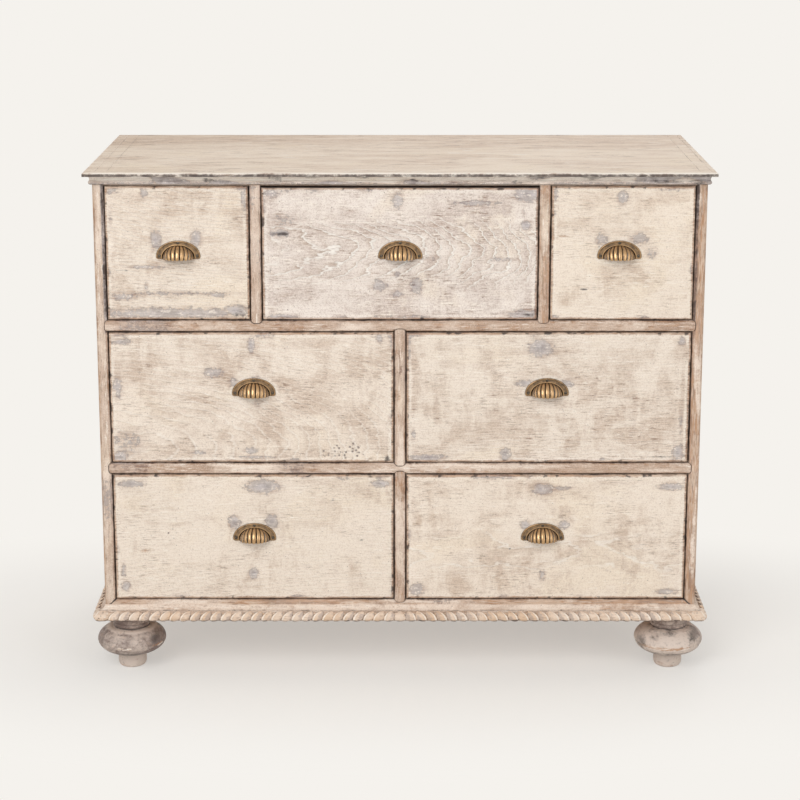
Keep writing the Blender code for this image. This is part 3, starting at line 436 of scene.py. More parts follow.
class Finish(Tree):
    """A material under way, with the way of its grain and the colour laid on so far."""

    def __init__(self, name, grain="Z", shift=0):
        self.material = bpy.data.materials.new(name)
        self.material.use_nodes = True
        super().__init__(self.material.node_tree)
        self.place = self.node("TexCoord").outputs["Object"]
        self.grain = grain
        self.shift = shift
        self.colour = None

    def flip(self, value):
        return self.take(1, value)

    def swing(self, value, amount):
        """A value round a half as one round nothing, times an amount."""
        return self.times(self.take(value, 0.5), amount)

    def ramp(self, value, low, high):
        inputs = {"Value": value, "From Min": low, "From Max": high}
        return self.node("MapRange", inputs, interpolation_type="SMOOTHSTEP").outputs[0]

    def fade(self, value, low, high):
        return self.flip(self.ramp(value, low, high))

    def mix(self, share, first, second):
        return self.node("Mix", {0: share, 6: first, 7: second}, data_type="RGBA").outputs[2]

    def over(self, share, tone):
        """Lays a tone over the colour so far."""
        self.colour = self.mix(share, self.colour, tone)

    def lumps(self, scale, detail=3, roughness=0.5, warp=0, place=None):
        inputs = {"Vector": self.place if place is None else place, "Scale": scale, "Detail": detail,
                  "Roughness": roughness, "Distortion": warp}
        return self.node("TexNoise", inputs).outputs[0]

    def fibres(self, along, across, shift=0, detail=3, roughness=0.5, warp=0, grain=None):
        """Lumps drawn out along the grain."""
        shift += self.shift
        scale = [along if axis == (grain or self.grain) else across for axis in "XYZ"]
        inputs = {"Vector": self.place, "Location": (shift, -shift, 2 * shift), "Scale": scale}
        return self.lumps(1, detail, roughness, warp, self.node("Mapping", inputs).outputs[0])

    def distance(self, centre, scale):
        """How far a place is from nothing once it is scaled and moved by the centre."""
        inputs = {"Vector": self.place, "Location": centre, "Scale": scale}
        moved_place = self.node("Mapping", inputs).outputs[0]
        return self.node("VectorMath", {0: moved_place}, operation="LENGTH").outputs["Value"]

    def stored(self, name, channel=None):
        attribute = self.node("Attribute", attribute_type="GEOMETRY", attribute_name=name)
        if channel is None:
            return attribute.outputs["Fac"]
        return self.node("SeparateColor", {0: attribute.outputs["Color"]}).outputs[channel]

    def shade(self, roughness, height, relief, strength, **constants):
        """The material, with its colour so far and the relief of a height."""
        bump = {"Strength": strength, "Distance": relief, "Height": height}
        inputs = {key.replace("_", " "): value for key, value in constants.items()}
        inputs.update({"Base Color": self.colour, "Roughness": roughness})
        inputs["Normal"] = self.node("Bump", bump).outputs[0]
        shader = self.node("BsdfPrincipled", inputs).outputs[0]
        self.node("OutputMaterial", {"Surface": shader})
        return self.material


def growth_rings(f, rings, shares):
    """Rings round the middles of a board, darkest just inside a pale ridge where a line of painted shadow
    lies, and how high the ridges stand.
    """
    middles, count, share, reach = rings
    combed, fine, hair, crumbs, daubs = shares
    level = f.node("SeparateXYZ", {0: f.place}).outputs[2]
    beyond = f.add(f.math("ABSOLUTE", f.take(level, middles[0][1]), 0), f.swing(daubs, 0.8 * reach))
    share = f.times(f.fade(beyond, 0.55 * reach, 1.15 * reach), share)
    spread = None
    for across, up, squeeze, behind in middles:
        away = f.add(f.distance((-across * squeeze, 0, -up), (squeeze, 1, 1)), behind)
        if spread is None:
            spread = away
        else:
            spread = f.node("Math", {0: spread, 1: away, 2: 0.02}, operation="SMOOTH_MIN").outputs[0]
    wander = f.fibres(4, 7, 1.3, 2, 0.5)
    ripple = f.fibres(16, 42, 2.6, 3, 0.6)
    warped = f.add(f.times(spread, count), f.times(wander, 0.02 * count), f.times(ripple, 0.006 * count),
                   f.times(combed, 0.5), f.times(fine, 0.3), f.times(crumbs, 0.16))
    phase = f.math("FRACT", warped, 0)
    patchy = f.ramp(f.fibres(6, 11, 9.2, 3), 0.26, 0.5)
    # A soft grain tone across each ring, and just inside each pale ridge a thin dark line of painted shadow.
    ring = f.times(f.add(f.times(f.ramp(phase, 0.25, 0.7), 0.3), f.times(f.ramp(phase, 0.58, 0.72), 0.7)),
                   f.fade(phase, 0.74, 0.79), f.ramp(hair, 0.36, 0.5))
    ridge = f.times(f.ramp(phase, 0.74, 0.82), f.fade(phase, 0.88, 0.96))
    f.over(f.times(ring, patchy, share, 0.62), screen(176, 150, 130))
    f.over(f.times(ridge, patchy, share), screen(253, 247, 239))
    return f.times(ridge, patchy, share, 1.3)


def limed_pine(name, grain, thick, thin, cover=0, contrast=1, rings=None, shift=0, streaks=1,
               coarse=1):
    """Whitewash over pine: covering and thin areas, grain, and what wear, wash and pits keep on the mesh."""
    paint = bpy.context.scene.chest_paint
    f = Finish(name, grain, shift)
    fine = f.fibres(26 / coarse ** 0.5, 320 / coarse, 0, 4, 0.7, 0.5)
    hair = f.fibres(46 / coarse ** 0.5, 420 / coarse, 5.3, 3, 0.65, 0.3)
    dust = f.lumps(420, 2, 0.6)
    combed = f.fibres(5, 95 / coarse ** 0.5, 3.1, 4, 0.6, 0.5)
    daubs = f.fibres(9 / coarse ** 0.6, 14, 7.7, 5, 0.62, 0.9)
    crumbs = f.lumps(150, 4, 0.7)

    # The stored wash thickens the coat; on the drawer fronts and along the top's front edge it also holds
    # painted highlights, which show here as thicker, paler wash.
    wash = f.times(f.stored("wash"), 0.34)
    if rings:
        strokes = f.fibres(11, 36, 2.2, 5, 0.6, 0.8, "Z")
        wiped = f.ramp(f.lumps(6, 2), 0.42, 0.58)
        wash = f.add(wash, f.times(f.take(strokes, 0.5), wiped, 1.5))
    thickness = f.add(f.swing(daubs, 1.6), f.swing(combed, 0.45), f.swing(fine, 0.4), f.swing(hair, 0.25),
                      f.swing(crumbs, 0.3), wash, cover)
    covered = f.ramp(thickness, -0.26 * contrast, 0.26 * contrast)
    worn = f.flip(covered)
    broad = f.fibres(5, 7, 12, 3, 0.6, 0.6)
    cream = f.mix(f.times(f.ramp(broad, 0.5, 0.66), 0.28), thick, screen(238, 219, 190))
    f.colour = f.mix(covered, thin, cream)
    patch = f.ramp(f.fibres(8, 14, 4.4, 4, 0.65, 0.8), 0.46, 0.6)
    lines = f.add(0.02, f.times(patch, 0.24), f.times(worn, 0.44))
    f.over(f.times(f.ramp(fine, 0.52, 0.64), lines, streaks), paint.streak)
    scratches = f.add(0.07, f.times(patch, 0.4), f.times(worn, 0.44))
    f.over(f.times(f.ramp(hair, 0.55, 0.64), scratches, streaks), screen(146, 121, 104))
    raised = f.add(0.3, f.times(f.ramp(combed, 0.48, 0.62), 0.7))
    f.over(f.times(f.fade(hair, 0.37, 0.45), raised, streaks, 0.75), paint.fleck)
    f.over(f.times(f.ramp(dust, 0.5, 0.68), 0.26 * streaks), paint.fleck)
    f.over(f.times(f.fade(dust, 0.32, 0.5), 0.25 * streaks), paint.streak)
    cells = f.node("TexVoronoi", {"Vector": f.place, "Scale": 150, "Randomness": 0.9}).outputs["Distance"]
    specks = f.times(f.fade(cells, 0.08, 0.2), f.ramp(crumbs, 0.53, 0.6), 0.6 * streaks)
    f.over(specks, screen(120, 102, 94))
    # Where the stored wash runs past one, ridge colour is laid on: thick daubs, and painted highlight lines
    # along the drawer fronts' and the top's edges.
    daubs_and_highlights = f.ramp(f.add(f.stored("wash"), f.swing(crumbs, 1.2)), 1, 1.7)
    f.over(f.times(daubs_and_highlights, 0.85), paint.fleck)
    height = f.add(f.times(fine, 0.55), f.times(combed, 0.35), f.times(covered, 0.25), f.times(hair, 0.3))
    if rings:
        height = f.add(height, growth_rings(f, rings, (combed, fine, hair, crumbs, daubs)))

    chips = f.lumps(65, 4, 0.65, 0.6)
    breakup = f.add(f.swing(crumbs, 0.75), f.swing(chips, 0.95), f.swing(combed, 0.1), f.swing(hair, 0.25))
    coat = f.stored("wear", 0)
    coat_edge = f.add(coat, breakup)
    coat_shown = f.times(f.ramp(coat_edge, 0.36, 0.54), f.ramp(coat, 0.06, 0.24))
    halo = f.times(f.ramp(coat, 0.04, 0.45), f.flip(coat_shown), f.ramp(fine, 0.36, 0.62))
    f.over(f.times(halo, 0.65), screen(176, 152, 138))
    coat_tone = f.mix(f.ramp(f.add(f.times(chips, 0.6), f.times(fine, 0.4)), 0.44, 0.58), paint.old_coat,
                      screen(152, 143, 144))
    coat_tone = f.mix(f.times(f.ramp(hair, 0.56, 0.66), 0.6), coat_tone, screen(104, 95, 96))
    flecked = f.times(f.ramp(crumbs, 0.54, 0.62), f.fade(fine, 0.46, 0.56), 0.8)
    coat_tone = f.mix(flecked, coat_tone, paint.fleck)
    f.over(f.times(coat_shown, f.add(0.6, f.times(f.ramp(coat, 0.6, 1), 0.22))), coat_tone)
    rim = f.times(f.ramp(coat_edge, 0.3, 0.42), f.fade(coat_edge, 0.46, 0.6), f.ramp(coat, 0.06, 0.24),
                  f.ramp(crumbs, 0.42, 0.56))
    f.over(f.times(rim, 0.46), screen(128, 116, 116))

    bare = f.stored("wear", 1)
    bare_shown = f.times(f.ramp(f.add(bare, breakup), 0.28, 0.7), f.ramp(bare, 0.04, 0.16))
    bare_tone = f.mix(f.ramp(fine, 0.42, 0.6), paint.bare, screen(133, 96, 72))
    pores = f.fade(f.add(f.times(hair, 0.5), f.times(combed, 0.5)), 0.42, 0.51)
    bare_tone = f.mix(f.times(pores, 0.62), bare_tone, screen(228, 207, 186))
    f.over(f.times(bare_shown, 0.66), bare_tone)
    pit = f.times(f.fade(cells, 0.2, 0.42), f.ramp(f.add(f.stored("pits"), f.swing(crumbs, 0.9)), 0.35, 0.6))
    f.over(f.times(pit, 0.75), screen(128, 114, 108))
    # Grime: dark wax and dirt, and on the drawer fronts, the top and the cornice also painted shade in the
    # gaps, creases and under the lip.
    grime = f.stored("wear", 2)
    grime_and_shade_shown = f.times(f.ramp(f.add(grime, f.times(breakup, 0.9)), 0.24, 0.8), f.ramp(grime, 0.03, 0.14))
    f.over(f.times(grime_and_shade_shown, 0.88), paint.grime)

    lost = f.add(f.times(coat_shown, 0.5), f.times(bare_shown, 0.6), f.times(grime_and_shade_shown, 0.4),
                 f.times(pit, 1.6))
    gloss = f.add(0.66, f.swing(crumbs, 0.2), f.times(covered, 0.08))
    return f.shade(gloss, f.take(height, lost), 0.0012, 0.7, Specular_IOR_Level=0.35)


def bare_pine(name, grain, shift=0, dirt=0.25, turned_from=None):
    """Unpainted pine with its grain, for the boards inside. The board behind turned_from runs across."""
    paint = bpy.context.scene.chest_paint
    f = Finish(name, grain, shift)
    if turned_from is not None:
        across, deep, up = f.node("SeparateXYZ", {0: f.place}).outputs
        turned = f.node("CombineXYZ", {0: deep, 1: across, 2: up}).outputs[0]
        behind = f.math("GREATER_THAN", deep, turned_from)
        f.place = f.node("Mix", {0: behind, 4: f.place, 5: turned}, data_type="VECTOR").outputs[1]
    fine = f.fibres(8, 260, 0, 4, 0.6)
    broad = f.fibres(2, 34, 5, 3, 0.5, 0.6)
    phase = f.math("FRACT", f.add(f.times(broad, 7), f.times(fine, 0.35)), 0)
    ring = f.times(f.ramp(phase, 0.35, 0.85), f.fade(phase, 0.86, 0.98))
    f.colour = f.mix(f.times(ring, 0.65), paint.pine, paint.pine_grain)
    f.over(f.times(f.ramp(fine, 0.55, 0.72), 0.5), screen(150, 108, 72))
    dust = f.fibres(2.2, 11, 0, 5, 0.6, 0.5)
    f.over(f.times(f.ramp(dust, 0.45, 0.7), dirt), screen(120, 92, 68))
    height = f.add(f.times(fine, 0.6), f.times(ring, 0.4))
    return f.shade(f.add(0.72, f.swing(fine, 0.2)), height, 0.0004, 0.5, Specular_IOR_Level=0.3)


def turned_foot_wood(name):
    """Grey-brown stain with a pale wash left on it, and chips on the bun. The stored wash also brings painted
    shade at the bun's sides and a painted highlight on the right-hand buns, and grime a painted shade at the
    toe.
    """
    paint = bpy.context.scene.chest_paint
    f = Finish(name)
    clouds = f.fibres(34, 24, 0, 5, 0.65, 0.8)
    patches = f.fibres(75, 50, 6, 5, 0.7, 1)
    turned = f.fibres(240, 16, 2, 4, 0.65)
    crumbs = f.lumps(120, 5, 0.7)
    pale = f.add(f.swing(clouds, 1), f.swing(patches, 0.7), f.swing(turned, 0.25), f.swing(crumbs, 0.8),
                 f.times(f.stored("wash"), 0.4))
    pale_shown = f.ramp(pale, -0.3, 0.34)
    f.colour = f.mix(pale_shown, paint.foot_stain, paint.foot_wash)
    scuffed = f.ramp(f.add(patches, f.swing(crumbs, 0.6)), 0.55, 0.66)
    f.over(f.times(scuffed, f.ramp(turned, 0.4, 0.55), 0.35), screen(168, 128, 102))
    dark = f.ramp(f.add(f.times(f.take(patches, 0.44), -1.6), f.swing(crumbs, 1.2)), 0.02, 0.3)
    f.over(f.times(dark, 0.34), screen(88, 74, 70))
    chips = f.stored("wear", 1)
    chip_shown = f.times(f.ramp(f.add(chips, f.swing(crumbs, 1.3)), 0.42, 0.58), f.ramp(chips, 0.05, 0.2))
    f.over(f.times(chip_shown, 0.75), f.mix(f.ramp(turned, 0.45, 0.55), paint.bare, paint.fleck))
    grime = f.stored("wear", 2)
    grime_and_shade_shown = f.ramp(f.add(grime, f.swing(crumbs, 0.9), f.swing(patches, 0.7)), 0.3, 0.84)
    f.over(f.times(grime_and_shade_shown, f.ramp(grime, 0.03, 0.2), 0.82), paint.grime)
    height = f.add(f.times(turned, 0.2), f.times(crumbs, 0.4), f.times(pale_shown, 0.3),
                   f.times(chip_shown, -0.6))
    return f.shade(f.add(0.5, f.times(pale_shown, 0.22)), height, 0.0006, 0.5, Specular_IOR_Level=0.4)


def rope_wood(name):
    """A painted highlight on the crests of the carved strands, worn wood on their faces, and painted shade
    with dark chips between and beneath them.
    """
    paint = bpy.context.scene.chest_paint
    f = Finish(name, "X")
    grain = f.fibres(60, 320, 0, 4, 0.6)
    crumbs = f.lumps(190, 4, 0.6)
    f.colour = f.mix(f.ramp(f.lumps(14, 3, 0.6), 0.34, 0.6), screen(222, 192, 164), paint.rope_coat)
    f.over(f.times(f.ramp(grain, 0.5, 0.68), 0.45), screen(178, 144, 118))
    coat_shown = f.ramp(f.add(f.stored("wear", 0), f.swing(crumbs, 1.3)), 0.36, 0.74)
    f.over(f.times(coat_shown, 0.62), screen(172, 157, 150))
    crest_highlight_shown = f.ramp(f.add(f.stored("wash"), f.swing(crumbs, 0.5)), 0.35, 0.75)
    f.over(f.times(crest_highlight_shown, 0.85), paint.fleck)
    # Painted shade between and beneath the strands, with dark chips low down.
    grime_and_shade_shown = f.ramp(f.add(f.stored("wear", 2), f.swing(crumbs, 0.9)), 0.4, 0.85)
    f.over(f.times(grime_and_shade_shown, 0.85), screen(78, 65, 60))
    height = f.add(f.times(grain, 0.5), f.times(crumbs, 0.4), f.times(crest_highlight_shown, 0.3))
    return f.shade(0.68, height, 0.0006, 0.5, Specular_IOR_Level=0.35)


def antique_brass(name):
    """Brass rubbed bright on the ribs and rims, with painted highlights on the middle ribs and the plate's
    inner rim, and dark patina in the hollows.
    """
    pull = bpy.context.scene.chest_pull
    f = Finish(name)
    clouds = f.lumps(110, 4, 0.65)
    scratches = f.fibres(90, 900, 0, 3, 0.6)
    # shine: rubbed metal together with the painted highlights stored on the casting.
    shine = f.ramp(f.add(f.stored("wash"), f.swing(clouds, 1.1), f.swing(scratches, 0.25)), 0.16, 0.98)
    f.colour = f.mix(shine, pull.patina, pull.brass)
    f.over(f.times(f.ramp(clouds, 0.54, 0.7), 0.35), screen(104, 82, 58))
    gloss = f.add(0.5, f.times(shine, -0.2), f.swing(clouds, 0.12))
    metal = f.add(0.55, f.times(shine, 0.25))
    height = f.add(f.times(clouds, 0.5), f.times(scratches, 0.3))
    return f.shade(gloss, height, 0.0002, 0.4, Metallic=metal, Coat_Weight=0.75, Coat_Roughness=0.09)


def dark_steel(name):
    f = Finish(name)
    clouds = f.lumps(700, 3, 0.6)
    f.colour = f.mix(f.ramp(clouds, 0.4, 0.65), screen(58, 52, 46), screen(124, 112, 98))
    return f.shade(f.add(0.36, f.times(clouds, 0.2)), clouds, 0.0001, 0.4, Metallic=0.8)


# Boards


def board_mesh(name, ups, acrosses, face, back):
    """A board: its modelled face from side to side at each place up it, closed by its plain back outline."""
    return lofted(name, [[face(across, up) for across in acrosses] + back(up)[::-1] for up in ups])


def worn_edge(inset_a, inset_b, radius):
    """How far a rounded arris falls back at a point, from its distances to the two nearest edges."""
    a = max(0, radius - inset_a)
    b = max(0, radius - inset_b)
    fall = a * a + b * b
    return radius if fall >= radius * radius else radius - sqrt(radius * radius - fall)


def cleared(places, fixed, gap):
    """The places that lie further than a gap from every fixed one."""
    return [place for place in places if all(abs(place - one) > gap for one in fixed)]


def around(joints, reach):
    return [joint + side * reach for joint in joints for side in (-1, 0, 1)]


def grooves(place, joints, half_width, depth):
    return sum(depth * max(0, 1 - abs(place - joint) / half_width) for joint in joints)


def marks_at(x, z, marks, middle):
    """The strength of each kind of mark at each point of a drawer front."""
    amounts = {kind: 0 * x for kind in ("grey", "brown", "grime", "pits", "wash")}
    for kind, places in marks.items():
        for across, up, half_width, half_height, strength in places:
            du = (x - middle[0] - across / 1000) / (half_width / 1000)
            dv = (z - middle[1] - up / 1000) / (half_height / 1000)
            falloff = np.exp2(-np.clip(du * du + dv * dv, 0, 30)) * strength / 10
            amounts[kind] = amounts[kind] + falloff if kind == "wash" else most(amounts[kind], falloff)
    return amounts


def front_mesh(drawer, seed):
    """A drawer front: worn and slightly wavy in front, rebated for the sides and grooved for the bottom."""
    low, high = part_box(f"{drawer}_front")
    raised = drawer == "drawer_top_middle"
    head_gap = 0.0022
    if raised:
        high.z -= head_gap
    rebate_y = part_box(f"{drawer}_box")[0].y - CLEARANCE
    bottom_low, bottom_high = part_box(f"{drawer}_bottom")
    side = 0.0126
    marks = FRONT_MARKS[drawer]
    middle = ((low.x + high.x) / 2, (low.z + high.z) / 2)
    small = [mark for mark in marks["grey"] + marks.get("brown", ()) if mark[2] < 20 and mark[3] < 20]
    slot = (bottom_low.z - CLEARANCE, bottom_high.z + CLEARANCE)

    def face(x, z):
        sides = min(x - low.x, high.x - x)
        ends = min(z - low.z, high.z - z)
        depth = worn_edge(sides, ends, 0.0022 + 0.0022 * rough(x, 0, z, 28, seed))
        edge = min(sides, ends)
        if edge < 0.007:
            chip = rough(x, 0, z, 95, seed + 4)
            depth += 0.0009 * max(0, chip - 0.6) / 0.4 * (1 - edge / 0.007)
        depth += 0.00035 * rough(x * 0.35, 0, z, 22, seed + 8)
        for across, up, half_width, half_height, strength in small:
            du = (x - middle[0] - across / 1000) / (half_width / 1000)
            dv = (z - middle[1] - up / 1000) / (half_height / 1000)
            depth += 0.0005 * max(0, 1 - du * du - dv * dv)
        return (x, low.y + min(depth, 0.0045), z)

    def back(z):
        inner = bottom_low.y - CLEARANCE if slot[0] <= z <= slot[1] else high.y
        return [
            (low.x, rebate_y, z), (low.x + side, rebate_y, z), (low.x + side, inner, z),
            (high.x - side, inner, z), (high.x - side, rebate_y, z), (high.x, rebate_y, z),
        ]

    ups = cleared(graded(low.z, high.z, 0.0036, 0.004), slot, 0.0004)
    ups = sorted(ups + [slot[0] - HAIR, *slot, slot[1] + HAIR])
    mesh = board_mesh(f"{drawer}_worn_front", ups, graded(low.x, high.x, 0.0036, 0.004), face, back)
    pull_low, pull_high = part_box(f"{drawer}_pull")
    pull_width, pull_height = pull_high.x - pull_low.x + 0.0024, pull_high.z - pull_low.z + 0.0012

    def rule(x, y, z):
        amounts = marks_at(x, z, marks, middle)
        from_right, from_base = high.x - x, z - low.z
        inset = np.minimum(np.minimum(x - low.x, from_right), np.minimum(from_base, high.z - z))
        patchy = soft_noise(x, y, z, 24, seed + 2)
        chip = soft_noise(x, y, z, 85, seed + 9)
        # Darker along every edge; painted shade along the right and bottom edges and on the sides deep in the
        # gap; dark chips near the edges.
        dark = most(fade(inset, 0.0002, 0.0022) * (0.2 + 0.55 * patchy),
                    fade(from_right, 0.001, 0.0052) * (0.2 + 0.5 * patchy),
                    fade(from_base, 0.001, 0.0046) * (0.1 + 0.5 * patchy),
                    ramp(y, low.y + 0.0046, low.y + 0.007) * 0.65,
                    fade(inset, 0.003, 0.006) * ramp(chip, 0.62, 0.74) * 0.72)
        # Painted shadow on the top middle front's top edge, under its lowered head.
        if raised:
            dark = most(dark, ramp(z, high.z - head_gap, high.z - 0.0006) * 0.9)
        bare = most(amounts["brown"], fade(inset, 0.0024, 0.0056) * (0.4 + 0.85 * patchy))
        old = ramp(soft_noise(x, y, z, 22, seed + 6), 0.54, 0.8)
        grey = most(amounts["grey"], fade(inset, 0.002, 0.016) * 0.55 * old)
        # Painted highlight along the left and top edges, weaker along the bottom, laid on as extra wash.
        lit = most(fade(x - low.x, 0.006, 0.011), fade(high.z - z, 0.006, 0.011),
                   0.6 * fade(from_base, 0.005, 0.009))
        wash = amounts["wash"] + 0.9 * lit * ramp(inset, 0.0022, 0.0042)
        # A painted highlight line all round, a little in from the edge, and a pale ring round the pull.
        line = bell(inset, 0.0066, 0.0015) * ramp(patchy, 0.28, 0.56)
        across = (x - (pull_low.x + pull_high.x) / 2) / (pull_width / 2)
        up = (z - pull_low.z) / pull_height
        beside = np.where(up > 0, np.sqrt(across ** 2 + up ** 2), most(np.abs(across), 1 - up * 6))
        wash = most(wash, 2 * line, 1.6 * bell(beside, 1.04, 0.05))
        inside = y > high.y - 0.0004
        return {"old_coat": np.where(inside, 0, grey), "bare": np.where(inside, 1, bare),
                "grime": most(amounts["grime"], np.where(inside, 0.1, dark)),
                "wash": np.where(inside, -0.6, wash), "pits": amounts["pits"]}

    return stain(rounded(mesh), rule)


def top_mesh():
    """The top board, thin at its overhang, with its end strips let in and its edges worn."""
    low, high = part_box("top_board")
    front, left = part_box("stile_left")[0].y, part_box("stile_left")[0].x
    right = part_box("stile_right")[1].x
    lip = high.z - 0.0072
    joints = (low.x + 0.021, low.x + 0.043, high.x - 0.03, high.x - 0.01)

    def back(x):
        base = low.z if left <= x <= right else lip
        return [(x, low.y + 0.0004, lip), (x, front, lip), (x, front, base), (x, high.y, base)]

    def face(y, x):
        sides = min(x - low.x, high.x - x)
        edge = y - low.y
        depth = worn_edge(sides, edge, 0.0016 + 0.0016 * rough(x, y, 0, 26, 3))
        if min(sides, edge) < 0.006:
            depth += 0.0009 * max(0, rough(x, y, 0, 90, 9) - 0.62) / 0.38
        depth += 0.0004 * rough(x * 0.3, y, 0, 18, 5)
        if edge > 0.012:
            depth += grooves(x, joints, 0.0009, 0.0005)
        return (x, y, high.z - min(depth, 0.004))

    fixed = around(joints, 0.0009) + [left - HAIR, left, right, right + HAIR]
    places = sorted(cleared(graded(low.x, high.x, 0.0075, 0.0035), fixed, 0.0008) + fixed)
    mesh = board_mesh("limed_top", places, graded(low.y, high.y, 0.0075, 0.0035), face, back)

    def rule(x, y, z):
        from_front, rear = y - low.y, high.y - y
        inset = np.minimum(np.minimum(x - low.x, high.x - x), from_front)
        patchy = soft_noise(x, y, z, 20, 1)
        # Dark below the top surface, on the lip's face and underneath: dark wax and painted shade under the
        # lip.
        under = ramp(high.z - z, 0.001, 0.0026)
        dark = most(under * (0.44 + 0.46 * soft_noise(x, y, z, 60, 2) + 0.1 * patchy),
                    fade(rear, 0.001, 0.006) * (0.15 + 0.5 * patchy))
        for joint in joints:
            line = fade(np.abs(x - joint), 0.0002, 0.0016) * (from_front > 0.012)
            dark = most(dark, line * (0.25 + 0.45 * patchy))
        bare = most(fade(np.minimum(inset, rear), 0.0008, 0.0048) * (0.05 + 0.5 * patchy),
                    ramp(np.abs(x), 0.55, 0.59) * 0.3, under * 0.5)
        grey = most(ramp(y, 0.16, 0.26) * 0.1, 0.26 * ramp(patchy, 0.74, 0.88))
        # Paler along the front edge, a painted highlight, and darker towards the back.
        wash = 1.4 * fade(from_front, 0.006, 0.014) + 0.25 - 0.95 * ramp(y, -0.05, 0.25)
        return {"old_coat": grey, "bare": bare, "grime": dark, "wash": wash}

    return stain(rounded(mesh), rule)


def side_mesh(side):
    """A side panel of four boards with their joints just showing."""
    name = "side_panel_left" if side < 0 else "side_panel_right"
    low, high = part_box(name)
    outer, inner = (low.x, high.x) if side < 0 else (high.x, low.x)
    joints = [low.y + (high.y - low.y) * share for share in (0.235, 0.5, 0.745)]

    def face(y, z):
        depth = worn_edge(min(y - low.y, high.y - y), 1, 0.0012) + grooves(y, joints, 0.001, 0.0006)
        return (outer - side * (depth + 0.0005 * rough(0, y, z * 0.25, 9, 20 + side)), y, z)

    def back(z):
        return [(inner, low.y, z), (inner, high.y, z)]

    places = sorted(cleared(graded(low.y, high.y, 0.008, 0.002), joints, 0.0016) + around(joints, 0.001))
    mesh = board_mesh(f"whitewashed_{name}", stepped(low.z, high.z, 0.01), places, face, back)

    def rule(x, y, z):
        patchy = soft_noise(x, y, z, 13, 40 + side)
        foot = fade(z - low.z, 0.004, 0.06)
        head = ramp(z, high.z - 0.045, high.z - 0.014)
        edge = fade(np.minimum(y - low.y, high.y - y), 0.001, 0.006)
        grime = most(foot * 0.25 + head * 0.35, edge * 0.45) * (0.4 + 0.6 * patchy)
        for joint in joints:
            grime = most(grime, fade(np.abs(y - joint), 0.0003, 0.0022) * (0.2 + 0.5 * patchy))
        stained = soft_noise(x, y, z * 0.3, 22, 50 + side)
        return {"old_coat": most(0.36 * ramp(stained, 0.66, 0.82), (foot + head) * 0.35),
                "bare": edge * (0.1 + 0.5 * patchy), "grime": grime,
                "wash": (soft_noise(x, y, z, 6, 60 + side) - 0.5) * 1.2}

    return stain(rounded(mesh), rule)


def back_mesh():
    """The back of eight thin boards, with a bevelled joint between neighbours."""
    low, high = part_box("back_panel")
    joints = [low.x + (high.x - low.x) / 8 * i for i in range(1, 8)]

    def face(x, z):
        return (x, high.y - 0.0002 * rough(x, 0, z * 0.2, 8, 70) - grooves(x, joints, 0.0016, 0.0014), z)

    def back(z):
        return [(low.x, low.y, z), (high.x, low.y, z)]

    places = sorted(cleared(stepped(low.x, high.x, 0.016), joints, 0.002) + around(joints, 0.0016))
    return rounded(board_mesh("back_boards", stepped(low.z, high.z, 0.03), places, face, back))


# Face frame


def middle_of(name):
    """The middle of a node's box as seen from the front."""
    low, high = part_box(name)
    return (low.x + high.x) / 2, (low.z + high.z) / 2


def span(name, axis):
    low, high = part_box(name)
    return high[axis] - low[axis]


def crown_section(half, reach, lowest, sizes):
    """Points (across, out) round a member's section, trimmed to a reach to either side."""
    shoulder = sizes.thickness - sizes.tongue_depth
    points = [(-reach, lowest), (reach, lowest), (reach, shoulder)]
    for i in range(17):
        turn = cos(pi * i / 16)
        across = reach * copysign(abs(turn) ** 0.8, turn)
        rest = max(0, 1 - (abs(across) / half) ** 2.5)
        points.append((across, sizes.thickness - sizes.crown + sizes.crown * rest ** 0.4))
    return points + [(-reach, shoulder)]


def tongue_outline(half, length):
    """Half the rounded end of a tongue: (reach to a side, distance out) from the tip back."""
    turns = [pi / 2 * (0.3 + 0.7 * i / 9) for i in range(10)]
    return [(half * sin(turn), length * cos(turn)) for turn in turns]


def member_mesh(name, middle, width, length, upright, tongues):
    """A rounded frame member, each of its two ends square or drawn out to a tongue."""
    sizes = bpy.context.scene.chest_frame
    half = width / 2
    back_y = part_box("stile_left")[1].y

    def ring(section, along):
        points = []
        for across, out in section:
            wave = 1 - 0.0005 * rough(along * 0.4, across, middle[0] + middle[1], 40) / sizes.thickness
            x, z = (across, along) if upright else (along, across)
            y = back_y - out * (wave if out > sizes.thickness / 2 else 1)
            points.append((middle[0] + x, y, middle[1] + z))
        return points

    lowest = sizes.thickness - sizes.tongue_depth
    outline = tongue_outline(half, sizes.tongue)
    tongue = [(out, crown_section(half, reach, lowest, sizes)) for reach, out in outline]
    full = crown_section(half, half, 0, sizes)
    rings = [ring(full, along) for along in stepped(-length / 2, length / 2, 0.006)]
    if tongues[0]:
        rings = [ring(section, -length / 2 - out) for out, section in tongue] + rings
    if tongues[1]:
        rings += [ring(section, length / 2 + out) for out, section in reversed(tongue)]
    return lofted(name, rings)


def pocket_mesh(middle, width, upright, direction):
    """Cutter for the pocket that a neighbour's tongue lies in; middle is on the shoulder line."""
    sizes = bpy.context.scene.chest_frame
    back_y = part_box("stile_left")[1].y
    half = width / 2 + sizes.pocket_gap
    end = tongue_outline(half, sizes.tongue + 2 * sizes.pocket_gap)
    outline = [(-half, -0.004), (half, -0.004)] + end[::-1] + [(-reach, out) for reach, out in end]
    rings = []
    for out in (sizes.thickness - sizes.tongue_depth - CLEARANCE, sizes.thickness + 0.004):
        ring = []
        for across, beyond in outline:
            x, z = (across, direction * beyond) if upright else (direction * beyond, across)
            ring.append((middle[0] + x, back_y - out, middle[1] + z))
        rings.append(ring)
    return lofted("pocket", rings)


